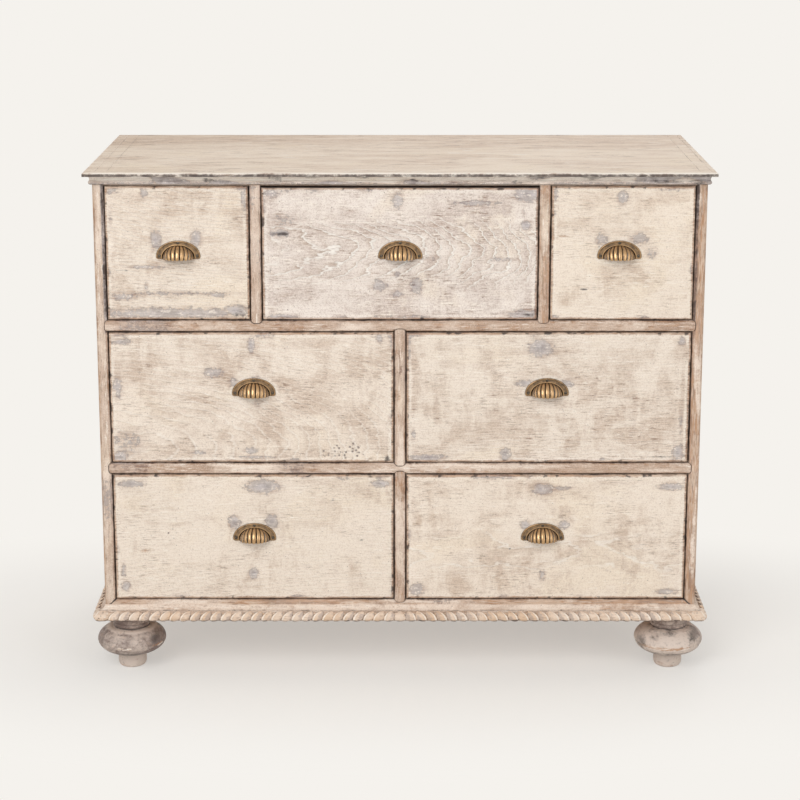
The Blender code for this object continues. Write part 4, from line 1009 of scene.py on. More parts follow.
def member_wear(middle, width, upright, pockets, bare_sides, bareness, seed, brightness, mitres):
    """How a frame member is worn: grime along its inner edges and round the tongues, bare outer edges."""

    def rule(x, y, z):
        across = (x - middle[0] if upright else z - middle[1]) / (width / 2)
        along = z if upright else x
        stretch = (1, 0.35) if upright else (0.35, 1)
        patchy = soft_noise(x * stretch[0], y, z * stretch[1], 38, seed)
        slow = soft_noise(x, y, z, 7, seed + 3)
        run = soft_noise(along * 0.1, across * 0.01, 0 * z, 60, seed + 6)
        bare = bareness * (0.2 + 0.3 * slow + 0.7 * ramp(run, 0.3, 0.62))
        grime = 0 * along
        for side in (-1, 1):
            if side in bare_sides:
                bare = most(bare, ramp(side * across, 0.35, 0.85) * (0.35 + 0.6 * patchy))
            else:
                bare = most(bare, ramp(side * across, 0.5, 0.8) * (0.1 + 0.7 * patchy))
                grime = most(grime, ramp(side * across, 0.72, 1) * (0.15 + 0.75 * patchy))
        for (px, pz), pocket_width, pocket_upright, direction in pockets:
            u, v = (x - px, z - pz) if pocket_upright else (z - pz, x - px)
            v = direction * v
            far = np.sqrt((u / (pocket_width / 2 + 0.0006)) ** 2 + (most(v, 0) / 0.0062) ** 2)
            line = fade(np.abs(far - 1), 0.02, 0.22) * (v > -0.001)
            grime = most(grime, line * (0.15 + 0.6 * patchy))
        for (x0, z0), (x1, z1) in mitres:
            off = np.abs((x - x0) * (z1 - z0) - (z - z0) * (x1 - x0)) / hypot(x1 - x0, z1 - z0)
            line = fade(off, 0.0009, 0.0024) * (z < max(z0, z1) + 0.001) * (z > min(z0, z1) + 0.004)
            grime = most(grime, line * (0.75 + 0.4 * patchy))
        coat = 0.42 * ramp(slow, 0.55, 0.8) + ramp(np.abs(across), 0.62, 1) * 0.45 * patchy
        if mitres and upright:
            stained = ramp(-bare_sides[0] * across, 0.3, 0.66) * ramp(z, 0.64, 0.72)
            grime = most(grime, stained * (0.3 + 0.65 * patchy))
            coat = most(coat, stained * 0.8)
        lift = (slow - 0.5) * 1 + (run < 0.36) * 0.7 + brightness
        return {"old_coat": coat, "bare": bare, "grime": grime, "wash": lift}

    return rule


def frame_members():
    """The frame's members: name, if upright, kind, middle, width, pockets, bare sides, bareness, seed."""
    stile_width, muntin_width = span("stile_left", 0), span("muntin_middle", 0)
    rail_height = span("rail_upper", 2)
    levels = [middle_of(name)[1] for name in ("rail_upper", "rail_lower")]
    members = []

    def pockets_for(names, level, direction):
        return [((middle_of(name)[0], level), muntin_width, True, direction) for name in names]

    for side, name, bareness in ((-1, "stile_left", 0.18), (1, "stile_right", 1.15)):
        x, z = middle_of(name)
        pockets = [((x - side * stile_width / 2, level), rail_height, False, side) for level in levels]
        members.append((name, True, "stile", (x, z), stile_width, pockets, (side,), bareness, 2 + side))
    above = {"rail_upper": ("muntin_top_left", "muntin_top_right"), "rail_lower": ("muntin_middle",)}
    below = {"rail_upper": ("muntin_middle",), "rail_lower": ("muntin_bottom",)}
    for name, z in zip(above, levels):
        pockets = pockets_for(above[name], z + rail_height / 2, -1)
        pockets += pockets_for(below[name], z - rail_height / 2, 1)
        members.append((name, False, "rail", (0, z), rail_height, pockets, (), 0.38, 7 + z * 10))
    z, height = middle_of("rail_bottom")[1], span("rail_bottom", 2)
    pockets = [((0, z + height / 2), muntin_width, True, -1)]
    members.append(("rail_bottom", False, "mitred rail", (0, z), height, pockets, (), 0.72, 12))
    for name, bareness in (("top_left", 0.12), ("top_right", 0.62), ("middle", 0.38), ("bottom", 0.5)):
        x, z = middle_of(f"muntin_{name}")
        seed = 15 + x * 20 + z
        members.append((f"muntin_{name}", True, "muntin", (x, z), muntin_width, [], (), bareness, seed))
    return members


def build_member(name, upright, kind, middle, width, pockets, bare_sides, bareness, seed):
    low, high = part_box(name)
    rail_low, rail_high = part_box("rail_bottom")
    length = high.z - low.z if upright else high.x - low.x
    reach = bpy.context.scene.chest_frame.tongue * cos(pi / 2 * 0.3)
    tongues = (kind in ("rail", "muntin"), kind == "rail" or name in ("muntin_middle", "muntin_bottom"))
    centre = middle
    if kind == "muntin" and not tongues[1]:
        centre = (middle[0], middle[1] + reach / 2)
    mesh = member_mesh(f"{name}_worn", centre, width, length - sum(tongues) * reach, upright, tongues)
    if kind == "stile":
        mitre_stile(mesh, bare_sides[0], low.z, middle[0], width, rail_high.z - rail_low.z)
    if kind == "mitred rail":
        mitre_rail(mesh, low, high)
    for shoulder, *pocket in pockets:
        mesh = cut(mesh.name, mesh, pocket_mesh(shoulder, *pocket))
    brightness = {"mitred rail": 0.25, "rail": -0.4}.get(kind, -0.1)
    stile_low, stile_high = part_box("stile_right")
    mitres = ()
    if kind in ("stile", "mitred rail"):
        mitres = [((side * stile_low.x, rail_high.z), (side * stile_high.x, rail_low.z)) for side in (-1, 1)]
    wear = member_wear(middle, width, upright, pockets, bare_sides, bareness, seed, brightness, mitres)
    return stain(rounded(mesh, 35), wear)


def mitre_stile(mesh, side, foot, middle, width, rise):
    """Mitres the foot of a stile to the bottom rail."""
    rise_and_gap = rise + 0.004
    for vert in mesh.vertices:
        if vert.co.z < foot + rise_and_gap:
            share = 1 - (vert.co.z - foot) / rise_and_gap
            inner = 0.5 - side * (vert.co.x - middle) / width
            vert.co.z += share * rise * inner


def mitre_rail(mesh, low, high):
    """Mitres the bottom rail to both stiles."""
    stile_width = span("stile_left", 0)
    reach = stile_width + 0.004
    for vert in mesh.vertices:
        inset = min(vert.co.x - low.x, high.x - vert.co.x)
        if inset < reach:
            level = (vert.co.z - low.z) / (high.z - low.z)
            vert.co.x -= copysign((1 - inset / reach) * stile_width * level, vert.co.x)


# Cornice and base


def cornice_section():
    """Points (projection, height) of the cove over the bead."""
    points = [(0, 0)]
    for i in range(13):
        angle = -pi / 2 + radians(140) * i / 12
        points.append((0.0034 - 0.00215 + 0.0043 * cos(angle), 0.0043 + 0.0043 * sin(angle)))
    for i in range(9):
        angle = pi / 2 * i / 8
        points.append((0.0034 + 0.0051 * (1 - cos(angle)), 0.0086 + 0.0085 * sin(angle)))
    return points + [(0, 0.0171)]


def cornice_mesh(which):
    """The moulding under the lip, mitred at the front corners and a little uneven along its length."""
    low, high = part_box("cornice_front")
    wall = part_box("stile_right")[1].x + CLEARANCE
    side = SIDES[which]
    seed = 2 if side else 1
    span = (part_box("stile_left")[0].y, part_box("top_board")[1].y) if side else (-wall, wall)
    places = stepped(*span, 0.007)
    rings = []
    for i, along in enumerate(places):
        ring = []
        for out, up in cornice_section():
            worn = 1 - 0.07 * rough(along, up * 3, 0, 30, seed)
            worn = out * (worn - 0.05 * max(0, rough(along, up, 0, 110, seed) - 0.6))
            if side:
                y = along - out + 0.0004 if i == 0 else along
                ring.append((side * (wall + worn), y, low.z + up))
            else:
                x = copysign(wall + out, along) if i in (0, len(places) - 1) else along
                ring.append((x, high.y - worn, low.z + up))
        rings.append(ring)
    mesh = lofted(f"cornice_{which}_worn", rings)

    def rule(x, y, z):
        up = z - low.z
        none = 0 * z
        along = y if side else x
        patchy = soft_noise(along * 0.5, up * 2, none, 26, 5)
        slow = soft_noise(along, none, none, 7, 8)
        spots = ramp(soft_noise(along, up * 4, none, 24, 12), 0.6, 0.68)
        patch = ramp(soft_noise(along, up * 3, none, 11, 3), 0.52, 0.62)
        pale = ramp(soft_noise(along * 0.5, up * 7, none, 40, 17), 0.54, 0.68)
        # Painted shadow along the head under the top's lip, painted shade in the crease between cove and
        # bead, darker along the foot, and dark spots and patches.
        crease = fade(np.abs(up - 0.0088), 0.0003, 0.0018) * 0.12 * patchy
        grime = most(ramp(up, 0.013, 0.0168) * 0.75, crease, fade(up, 0.0002, 0.0022) * 0.85, 0.5 * spots,
                     0.26 * patch * fade(up, 0.008, 0.014))
        coat = most(0.04 + 0.8 * patch, fade(up, 0.003, 0.0075) * (0.2 + 0.5 * patchy))
        wash = (slow - 0.4) * 1.4 + 0.8 * ramp(up, 0.006, 0.01) * (1 - patch) + 1.3 * pale
        return {"old_coat": coat, "bare": 0.3 * ramp(slow, 0.3, 0.5) * patchy, "grime": grime, "wash": wash}

    return stain(rounded(mesh), rule)


def cove_mesh(which):
    """The small cove that fills the ledge between the carcass and the rope, mitred at the front corners."""
    low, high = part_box("base_board")
    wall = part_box("stile_right")[1].x
    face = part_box("stile_left")[0].y
    ledge = min(high.x - wall, face - low.y) - 0.0004
    foot, head, inside = 0.001, 0.0092, -0.0075
    section = [(inside, 0.0001), (ledge, 0.0001), (ledge, foot)]
    for i in range(1, 9):
        angle = pi / 2 * i / 8
        out = ledge - (ledge - 0.0004) * sin(angle)
        section.append((out, foot + (head - foot) * (1 - cos(angle))))
    section.append((inside, head))
    side = SIDES[which]
    rings = []
    for share in stepped(0, 1, 0.02) if side else stepped(-1, 1, 0.01):
        ring = []
        for out, up in section:
            y = face - out
            if side:
                ring.append((side * (wall + out), y + (high.y - 0.0005 - y) * share, high.z + up))
            else:
                lump = 0.0004 * rough(share * wall, out, up, 40, 6) if out > 0 else 0
                ring.append((share * (wall + out), y + lump, high.z + up))
        rings.append(ring)
    mesh = lofted(f"base_cove_{which}", rings)

    def rule(x, y, z):
        up = z - high.z
        along = y if side else x
        patchy = soft_noise(along, 0 * y, up * 3, 30, 9)
        slow = soft_noise(along, 0 * y, 0 * z, 6, 4)
        grime = fade(up, 0.0006, 0.002) * (0.25 + 0.4 * patchy)
        return {"bare": 0.1 + 0.45 * slow, "grime": grime, "wash": 0.6 + (patchy - 0.4) * 1.2}

    return stain(rounded(mesh), rule)


# Shapes that repeat or follow a rule, made with Geometry Nodes


class Rule(Tree):
    """A Geometry Nodes tree under way, with named inputs, a material among them, and one output."""

    def __init__(self, name, **inputs):
        super().__init__(bpy.data.node_groups.new(name, "GeometryNodeTree"))
        face = self.tree.interface
        for kind, labels in {"Geometry": ("Geometry",), **inputs, "Material": ("Material",)}.items():
            for label in labels:
                face.new_socket(name=label, in_out="INPUT", socket_type="NodeSocket" + kind)
        face.new_socket(name="Geometry", in_out="OUTPUT", socket_type="NodeSocketGeometry")
        self.given = self.node("Input", family="NodeGroup").outputs

    def shape(self, kind, inputs=(), **settings):
        return self.node(kind, inputs, "GeometryNode", **settings).outputs[0]

    def parts(self, vector):
        return self.node("SeparateXYZ", {0: vector}).outputs

    def vector(self, x=0, y=0, z=0):
        return self.node("CombineXYZ", {0: x, 1: y, 2: z}).outputs[0]

    def chance(self, low, high, seed):
        inputs = {"Min": low, "Max": high, "Seed": seed}
        return self.node("RandomValue", inputs, "FunctionNode", data_type="FLOAT_VECTOR").outputs[0]

    def end(self, geometry):
        """Realizes what is instanced, gives it the material and ends the tree."""
        real = self.shape("RealizeInstances", {0: geometry})
        painted = self.shape("SetMaterial", {"Geometry": real, "Material": self.given["Material"]})
        self.node("Output", {0: painted}, "NodeGroup")
        return self.tree


def grown(name, mesh, tree, values):
    """The plain mesh that a tree makes of a mesh and values for its named inputs."""
    obj = in_scene(f"{name}_rule", mesh)
    modifier = obj.modifiers.new(name, "NODES")
    modifier.node_group = tree
    for item in tree.interface.items_tree:
        if item.in_out == "INPUT" and item.name in values:
            modifier[item.identifier] = values[item.name]
    return applied(name, obj)


def joined(name, *meshes):
    bm = bmesh.new()
    for mesh in meshes:
        bm.from_mesh(mesh)
    result = bpy.data.meshes.new(name)
    bm.to_mesh(result)
    bm.free()
    return result


def outward(mesh):
    """A copy with what coincides merged and its faces turned outwards."""
    bm = bmesh.new()
    bm.from_mesh(mesh)
    return finished(mesh.name, bm)


def strand_half(rope, angle):
    """Half the width of a strand where it lies at an angle up or down the half-round."""
    return rope.pitch * 0.535 * cos(angle * 0.94) ** 0.38


def strand_mesh(rope):
    """One fat strand over the half-round, narrowing to round ends behind its top and foot."""
    hollow = rope.radius - rope.carve
    neck = rope.projection - rope.radius
    rings = []
    for i in range(17):
        angle = pi / 2 - pi * i / 16
        half = strand_half(rope, angle)
        ring = []
        for j in range(13):
            across = sin(pi / 2 * (-1 + 2 * j / 12))
            radius = hollow + (rope.radius - hollow) * max(0, 1 - abs(across) ** 2.3) ** 0.5
            ring.append((across * half, -neck - radius * cos(angle), radius * sin(angle)))
        for across in (0.9, -0.9):
            inner = hollow - 0.0012
            ring.append((across * half, -neck - inner * cos(angle), inner * sin(angle)))
        rings.append(ring)
    mesh = lofted("strand", rings)
    across_of = mesh.attributes.new("across", "FLOAT", "POINT").data
    for vert, item in zip(mesh.vertices, across_of):
        angle = atan2(vert.co.z, -(vert.co.y + neck))
        item.value = vert.co.x / strand_half(rope, max(-pi / 2, min(pi / 2, angle)))
    return mesh


def rope_rule():
    """Strands set along a line, each a little different, then leant over as they were carved."""
    rule = Rule("Rope strands", Int=("Count", "Seed"), Bool=("Both ways",),
                Float=("Start", "Pitch", "Radius", "Lean", "Bow", "Lean run"))
    given = rule.given
    start, step = rule.vector(given["Start"]), rule.vector(given["Pitch"])
    values = {"Count": given["Count"], "Start Location": start, "Offset": step}
    line = rule.shape("MeshLine", values, mode="OFFSET")
    strands = rule.shape("InstanceOnPoints", {
        "Points": line,
        "Instance": given["Geometry"],
        "Rotation": rule.chance((0, -0.07, 0), (0, 0.07, 0), given["Seed"]),
        "Scale": rule.chance((0.95, 0.955, 0.97), (1.04, 1, 1), rule.add(given["Seed"], 11)),
    })
    real = rule.shape("RealizeInstances", {0: strands})
    place = rule.parts(rule.shape("InputPosition"))
    run = rule.math("DIVIDE", place[0], given["Lean run"])
    handed = rule.math("MINIMUM", rule.math("MAXIMUM", run, -1), 1)
    hand = rule.shape("Switch", {0: given["Both ways"], 1: 1, 2: handed}, input_type="FLOAT")
    level = rule.math("DIVIDE", place[2], given["Radius"])
    square = rule.times(level, level)
    slope = rule.times(level, rule.add(0.62, rule.times(square, 0.38)), given["Lean"], -0.5)
    bow = rule.times(rule.take(1, square), given["Bow"])
    shift = rule.vector(rule.times(rule.add(slope, bow), hand))
    return rule.end(rule.shape("SetPosition", {"Geometry": real, "Offset": shift}))


def rope_core(span, carved, corners, rope):
    """The half-round under the strands: full at the corners, which it turns, and low beneath the carving."""
    neck = rope.projection - rope.radius

    def ring(along, full, turn=0):
        radius = rope.radius - (rope.carve + 0.0002) * (1 - full)
        points = [(along, 0, radius)]
        for j in range(17):
            angle = pi / 2 - pi * j / 16
            lump = rough(along + turn * 0.01, 0, sin(angle) * 0.01, 140, 3)
            reach = radius * (1 - 0.1 * full * lump)
            out = neck + reach * cos(angle)
            points.append((along + out * sin(turn), -out * cos(turn), reach * sin(angle)))
        return points + [(along, 0, -radius)]

    rings = []
    for along in stepped(*span, 0.004):
        outside = max(carved[0] - along, along - carved[1], 0)
        rings.append(ring(along, min(1, outside / 0.005)))
    turns = [pi / 16 * i for i in range(1, 5)]
    before = [ring(span[0], 1, -turn) for turn in reversed(turns)] if corners[0] else []
    after = [ring(span[1], 1, turn) for turn in turns] if corners[1] else []
    return lofted("core", before + rings + after)


def rope_mesh(which, material):
    """A whole length of rope moulding: strands by rule over the core."""
    rope = bpy.context.scene.chest_rope
    low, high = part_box("base_board")
    half = high.x + CLEARANCE
    length = high.y - low.y
    side = SIDES[which]
    values = {"Pitch": rope.pitch, "Radius": rope.radius, "Lean run": 0.04, "Material": material}
    if side == 0:
        count = 2 * int((half - rope.knuckle - rope.lean / 2) / rope.pitch) + 1
        start = -(count - 1) / 2 * rope.pitch
        edge = -start + rope.pitch * 0.5 + rope.lean * 0.3
        values.update({"Lean": rope.lean, "Bow": 0.0022, "Both ways": True, "Seed": 4})
        span, carved, corners = (-half, half), (-edge, edge), (True, True)
        origin = (0, low.y - CLEARANCE)
    else:
        first = rope.knuckle + rope.lean / 2 + rope.pitch / 2
        count = int((length - rope.knuckle - rope.lean / 2) / rope.pitch)
        if first + count * rope.pitch > length:
            count -= 1
        last = first + (count - 1) * rope.pitch
        start = first if side > 0 else -last
        values.update({"Lean": side * rope.lean, "Bow": side * 0.0022, "Both ways": False, "Seed": 9 + side})
        span = (0.0004, length) if side > 0 else (-length, -0.0004)
        carved = (first - 0.013, last + 0.013) if side > 0 else (-last - 0.013, 0.013 - first)
        corners = (side > 0, side < 0)
        origin = (side * half, low.y)
    values.update({"Count": count, "Start": start})
    tree = bpy.data.node_groups.get("Rope strands") or rope_rule()
    strands = grown("strands", strand_mesh(rope), tree, values)
    strand_count = len(strands.vertices)
    across = np.zeros(strand_count, np.float32)
    strands.attributes["across"].data.foreach_get("value", across)
    mesh = joined(f"rope_{which}_carved", strands, rope_core(span, carved, corners, rope))
    mesh.attributes.remove(mesh.attributes["across"])
    lobe = np.zeros(len(mesh.vertices))
    lobe[:strand_count] = across
    core = np.arange(len(lobe)) >= strand_count

    def rule(x, y, z):
        hand = np.full(len(x), float(side)) if side else np.clip(x / 0.03, -1, 1)
        up = z / rope.radius
        beside = lobe * hand
        patchy = soft_noise(x, y, z, 30, 6)
        chips = soft_noise(x, y, z, 70, 16)
        # A painted highlight along each strand's outer shoulder, and painted shade in the creases between
        # strands and on each strand's inner shoulder.
        crest_highlight = bell(beside, 0.66, 0.16) * (0.75 + 0.45 * patchy)
        hollow = most(ramp(np.abs(lobe), 0.84, 1), ramp(-beside, 0.55, 0.95) * (0.1 + 0.45 * patchy))
        # On the plain core, carved lines are painted: painted shade in their hollows and painted highlight on
        # their crests.
        cuts = np.cos(tau * (x * hand + z * 0.8) / rope.pitch)[core]
        hollow[core] = 0.12 + 0.3 * patchy[core] + 0.45 * ramp(-cuts, 0.8, 1)
        crest_highlight[core] = 0.25 * patchy[core] + 0.55 * ramp(cuts, 0.7, 1)
        # Painted shade over the rope's lower half, and dark chips low down.
        hollow = most(hollow, ramp(-up, 0.36, 0.66) * (0.55 + 0.45 * patchy),
                      ramp(chips, 0.66, 0.74) * ramp(-up, 0.1, 0.6) * 1.1)
        coat = ramp(-beside, -0.55, 0.45) * (0.15 + 0.35 * ramp(patchy, 0.4, 0.62) + 0.5 * chips)
        coat[core] = 0.3 * patchy[core]
        return {"old_coat": coat, "grime": hollow, "wash": crest_highlight}

    stain(rounded(mesh, 55), rule)
    level = (low.z + high.z) / 2
    for vert in mesh.vertices:
        x, y, z = vert.co
        if side:
            x, y = -side * y, side * x
        vert.co = (origin[0] + x, origin[1] + y, level + z)
    return mesh


def foot_profile():
    """Radius and height up the turned foot, from the middle of its toe to the middle of its top."""
    bun, collar = 0.0662, 0.036
    middle, half_height = 0.0555, 0.025
    points = [(0, 0), (0.012, 0), (0.0205, 0), (0.0225, 0.0006), (0.0247, 0.002), (0.0263, 0.0044),
              (0.0271, 0.0074), (0.0275, 0.011), (0.0272, 0.018), (0.0265, 0.0255), (0.0266, 0.029),
              (0.03, 0.03), (0.0345, 0.0308)]
    lowest = -acos(0.0345 / bun)
    highest = acos(0.04 / bun)
    for i in range(1, 27):
        angle = lowest + (highest - lowest) * i / 26
        lift = sin(angle) / sin(highest if angle > 0 else -lowest)
        radius = bun * cos(angle) ** 0.86
        if 0.3 < -lift < 0.38:
            radius -= 0.0005
        points.append((min(radius, bun), min(middle + half_height * lift, 0.0802)))
    points += [(0.039, 0.0808), (0.0372, 0.0807), (0.0352, 0.0811), (0.0338, 0.0819), (0.0334, 0.0829),
               (0.034, 0.0839), (0.0352, 0.0847), (0.036, 0.0857), (collar, 0.0882), (0.0352, 0.0897),
               (0.0348, 0.0912), (0.0356, 0.0925), (collar, 0.0942), (collar, 0.1082), (0.0355, 0.1085),
               (0, 0.1085)]
    return points


def lathe_rule():
    """Turns a profile of radius and height round the upright axis."""
    rule = Rule("Turned foot", Int=("Sides", "Levels"))
    given = rule.given
    values = {"Size X": 1, "Size Y": 1, "Vertices Y": given["Levels"]}
    grid = rule.shape("MeshGrid", {"Vertices X": rule.add(given["Sides"], 1), **values})
    position = rule.shape("InputPosition")
    place = rule.parts(position)
    turn = rule.times(rule.add(place[0], 0.5), tau)
    last = rule.take(given["Levels"], 1)
    level = rule.math("ROUND", rule.times(rule.add(place[1], 0.5), last), 0)
    values = {"Geometry": given["Geometry"], "Value": position, "Index": level}
    radius, _, height = rule.parts(rule.shape("SampleIndex", values, data_type="FLOAT_VECTOR"))
    x = rule.times(radius, rule.math("COSINE", turn, 0))
    y = rule.times(radius, rule.math("SINE", turn, 0))
    turned = rule.shape("SetPosition", {"Geometry": grid, "Position": rule.vector(x, y, height)})
    return rule.end(rule.shape("MergeByDistance", {"Geometry": turned, "Distance": 0.00001}))


def foot_mesh(name, material):
    """One bun foot in its place, worn differently from the others."""
    points = foot_profile()
    profile = bpy.data.meshes.new("profile")
    profile.from_pydata([(r, 0, z) for r, z in points], [(i, i + 1) for i in range(len(points) - 1)], [])
    tree = bpy.data.node_groups.get("Turned foot") or lathe_rule()
    values = {"Sides": 72, "Levels": len(points), "Material": material}
    mesh = outward(grown(f"{name}_turned", profile, tree, values))
    low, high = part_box(name)
    middle = ((low.x + high.x) / 2, (low.y + high.y) / 2)
    seed = middle[0] * 31 + middle[1] * 17
    for vert in mesh.vertices:
        x, y, z = vert.co
        out = hypot(x, y)
        if 0.032 < z < 0.079 and out > 0.03:
            dent = 1 - 0.0018 * max(0, rough(x, y, z, 45, seed) - 0.55) / 0.0662 * 3
            x, y = x * dent, y * dent
        vert.co = (middle[0] + x, middle[1] + y, z)

    def rule(x, y, z):
        patchy = soft_noise(x, y, z, 30, seed)
        slow = soft_noise(x, y, z * 0.5, 16, seed + 5)
        across = x - middle[0]
        # Darker in the grooves, at the neck, along a turned line, at the collar's head and under the bun's
        # swell; the dark toe is painted shade.
        groove = fade(np.abs(z - 0.0827), 0.0008, 0.0028) * 0.75
        groove = most(groove, fade(np.abs(z - 0.091), 0.0004, 0.0022) * 0.6)
        neck = fade(np.abs(z - 0.0296), 0.0006, 0.0036)
        line = fade(np.abs(z - 0.047), 0.0003, 0.0014) * (0.25 + 0.5 * patchy)
        head = ramp(z, 0.101, 0.107) * 0.8
        toe = fade(z, 0.0008, 0.004) * 0.55
        under = fade(z, 0.042, 0.048) * ramp(z, 0.0296, 0.031) * (0.42 + 0.4 * patchy)
        grime = most(groove, neck, line, toe, head, 0.34 * ramp(slow, 0.58, 0.72), under)
        for aside, up, wide, tall, strength in FOOT_MARKS.get(name, ()):
            near = ((across - aside) / wide) ** 2 + ((z - up) / tall) ** 2
            grime = most(grime, np.exp2(-near) * strength * (0.6 + 0.7 * patchy) * (y < middle[1]))
        flecks = bell(z, 0.0535, 0.0046) * (0.18 + 0.55 * ramp(patchy, 0.3, 0.6))
        flecks = flecks + bell(z, 0.0052, 0.0022) * (0.3 + 0.6 * patchy)
        pale = 1.2 * bell(z, 0.0802, 0.0018) + 1.1 * fade(z, 0.024, 0.03) + 0.5 * fade(slow, 0.36, 0.48)
        # Less pale above the neck, and darker towards the bun's left and right edges as painted shade.
        pale = pale - 0.5 * ramp(z, 0.0815, 0.0835) - 0.35 * ramp(np.abs(across), 0.04, 0.064)
        # The right-hand feet are paler, with a painted highlight on the front of the bun.
        if middle[0] > 0:
            pale = pale + 0.35 + 1.1 * np.exp2(-((across - 0.004) / 0.034) ** 2 - ((z - 0.06) / 0.015) ** 2)
        # Painted shade on the right side of each foot.
        return {"bare": flecks, "grime": grime, "wash": pale - 0.3 * ramp(across, 0.02, 0.062)}

    return stain(rounded(mesh, 30), rule)


# Cup pulls


def cup_mesh(pull):
    """The ribbed shell of the cup, open below and behind, with a softened lip."""
    low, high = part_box("drawer_top_middle_pull")
    wide, deep, tall = pull.cup_width / 2, high.y - low.y, pull.cup_height
    per_rib, rows = 10, 22
    columns = pull.flutes * per_rib + 1
    bm = bmesh.new()
    layer = bm.verts.layers.float.new("rubbed")

    def rib_at(turn):
        place = (turn / pi + 0.5) * pull.flutes
        share = abs(2 * (place % 1) - 1)
        return sqrt(max(0, 1 - share ** 2.6))

    def point(turn, climb, sizes, dip):
        """A place on the dome: a rib runs from its turn at the lip to nearer the middle at its head."""
        head = turn * (0.55 + 0.45 * (2 * turn / pi) ** 2)
        lip_end = Vector((sin(turn), -cos(turn), 0))
        head_end = Vector((sin(head), 0, cos(head)))
        rib = rib_at(turn) if dip else 1
        sunk = 1 - dip * min(1, (1 - climb) / 0.22) * (1 - rib) / sizes[1]
        spot = (lip_end if lip_end.angle(head_end) < 0.001 else lip_end.slerp(head_end, climb)) * sunk
        # How bright the brass is: rubbed bright on the rib crests, with a painted highlight strongest on the
        # middle ribs, fading towards the top as painted shade.
        light = rib * rib * (0.45 + 0.55 * cos(turn)) * min(1, (1.06 - climb) / 0.25)
        return Vector((spot.x * sizes[0], spot.y * sizes[1], spot.z * sizes[2])), light

    def grid(count, sizes, dip):
        verts = []
        for row in range(count + 1):
            line = []
            for column in range(columns):
                turn = pi * column / (columns - 1) - pi / 2
                place, light = point(turn, row / count, sizes, dip)
                if row == 0:
                    place.z += 0.0003 + (0.002 * (1 - rib_at(turn)) if dip else 0)
                if row == count or column in (0, columns - 1):
                    place.y = 0
                vert = bm.verts.new(place)
                vert[layer] = light if dip else 0
                line.append(vert)
            verts.append(line)
        for below, above in zip(verts, verts[1:]):
            bridge(bm, below, above)
        return verts

    outer = grid(rows, (wide, deep, tall), pull.flute_depth)
    inset = pull.flute_depth + pull.wall * 0.8
    inner = grid(8, (wide - inset, deep - inset, tall - pull.wall), 0)
    lip = []
    for a, b in zip(outer[0], inner[0]):
        middle = a.co.lerp(b.co, 0.45)
        vert = bm.verts.new((middle.x, middle.y, a.co.z - 0.0003))
        vert[layer] = 0.7
        lip.append(vert)
    bridge(bm, outer[0], lip)
    bridge(bm, lip, inner[0])
    bridge(bm, outer[-1], inner[-1])
    for end in (0, -1):
        bm.faces.new((outer[0][end], lip[end], inner[0][end], inner[-1][end], outer[-1][end]))
    bmesh.ops.remove_doubles(bm, verts=bm.verts, dist=1e-6)
    bmesh.ops.dissolve_degenerate(bm, edges=bm.edges, dist=1e-6)
    return finished("cup", bm)


def plate_mesh(pull, width, height):
    """The half-round plate: a raised rim, a flat band and a sunk line beside the cup."""
    inner_x = pull.cup_width / 2 - (pull.flute_depth + pull.wall) * 0.67
    inner_z = pull.cup_height - (pull.flute_depth + pull.wall) * 0.67
    corner = 0.0038
    steps = 48
    # How far in from the edge, how far out from the wood and how bright each line round the plate is: rubbed,
    # with a painted highlight on the raised inner rim.
    lines = ((0, 0, 0.2), (0, 0.0012, 0.3), (0.04, 0.0019, 0.66), (0.1, 0.0023, 0.72),
             (0.17, 0.0021, 0.56), (0.21, 0.0015, 0.5), (0.26, 0.0014, 0.52), (0.6, 0.0014, 0.52),
             (0.66, 0.0017, 0.92), (0.72, 0.0017, 0.88), (0.77, 0.0008, 0), (1, 0.0007, 0),
             (1, 0, 0))
    bm = bmesh.new()
    layer = bm.verts.layers.float.new("rubbed")

    def outline(share):
        points = []
        for i in range(-8, steps + 9):
            angle = pi - pi * min(max(i, 0), steps) / steps
            drop = max(-i, i - steps, 0) / 8
            climb = pull.end_rise * (1 - drop)
            cut = max(0, corner - climb) if drop else 0
            reach = width / 2 - corner + sqrt(corner ** 2 - cut ** 2)
            outer = Vector((reach * cos(angle), climb + (height - pull.end_rise) * sin(angle)))
            start = 0.35 * climb
            inner = Vector((inner_x * cos(angle), start + (inner_z - start) * sin(angle)))
            points.append(outer.lerp(inner, share))
        return points

    rows = []
    for share, out, rubbed in lines:
        row = []
        for x, z in outline(share):
            vert = bm.verts.new((x, -out, z))
            vert[layer] = rubbed
            row.append(vert)
        rows.append(row)
    for near, far in zip(rows, rows[1:] + rows[:1]):
        bridge(bm, near, far)
    bm.faces.new([row[0] for row in rows])
    bm.faces.new([row[-1] for row in reversed(rows)])
    return finished("plate", bm)


def cup_pull_mesh():
    """A whole pull about the middle of its straight edge, with how far each part is rubbed bright and where
    painted highlights lie.
    """
    pull = bpy.context.scene.chest_pull
    low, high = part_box("drawer_top_middle_pull")
    mesh = joined("cup_pull", plate_mesh(pull, high.x - low.x, high.z - low.z), cup_mesh(pull))
    rubbed = np.zeros(len(mesh.vertices), np.float32)
    mesh.attributes["rubbed"].data.foreach_get("value", rubbed)
    mesh.attributes.remove(mesh.attributes["rubbed"])

    def rule(x, y, z):
        return {"wash": rubbed}

    return stain(rounded(mesh, 50), rule)


def disc(radius, y, sides):
    """A ring of points round the Y axis."""
    turns = [tau * i / sides for i in range(sides)]
    return [(radius * cos(turn), y, radius * sin(turn)) for turn in turns]


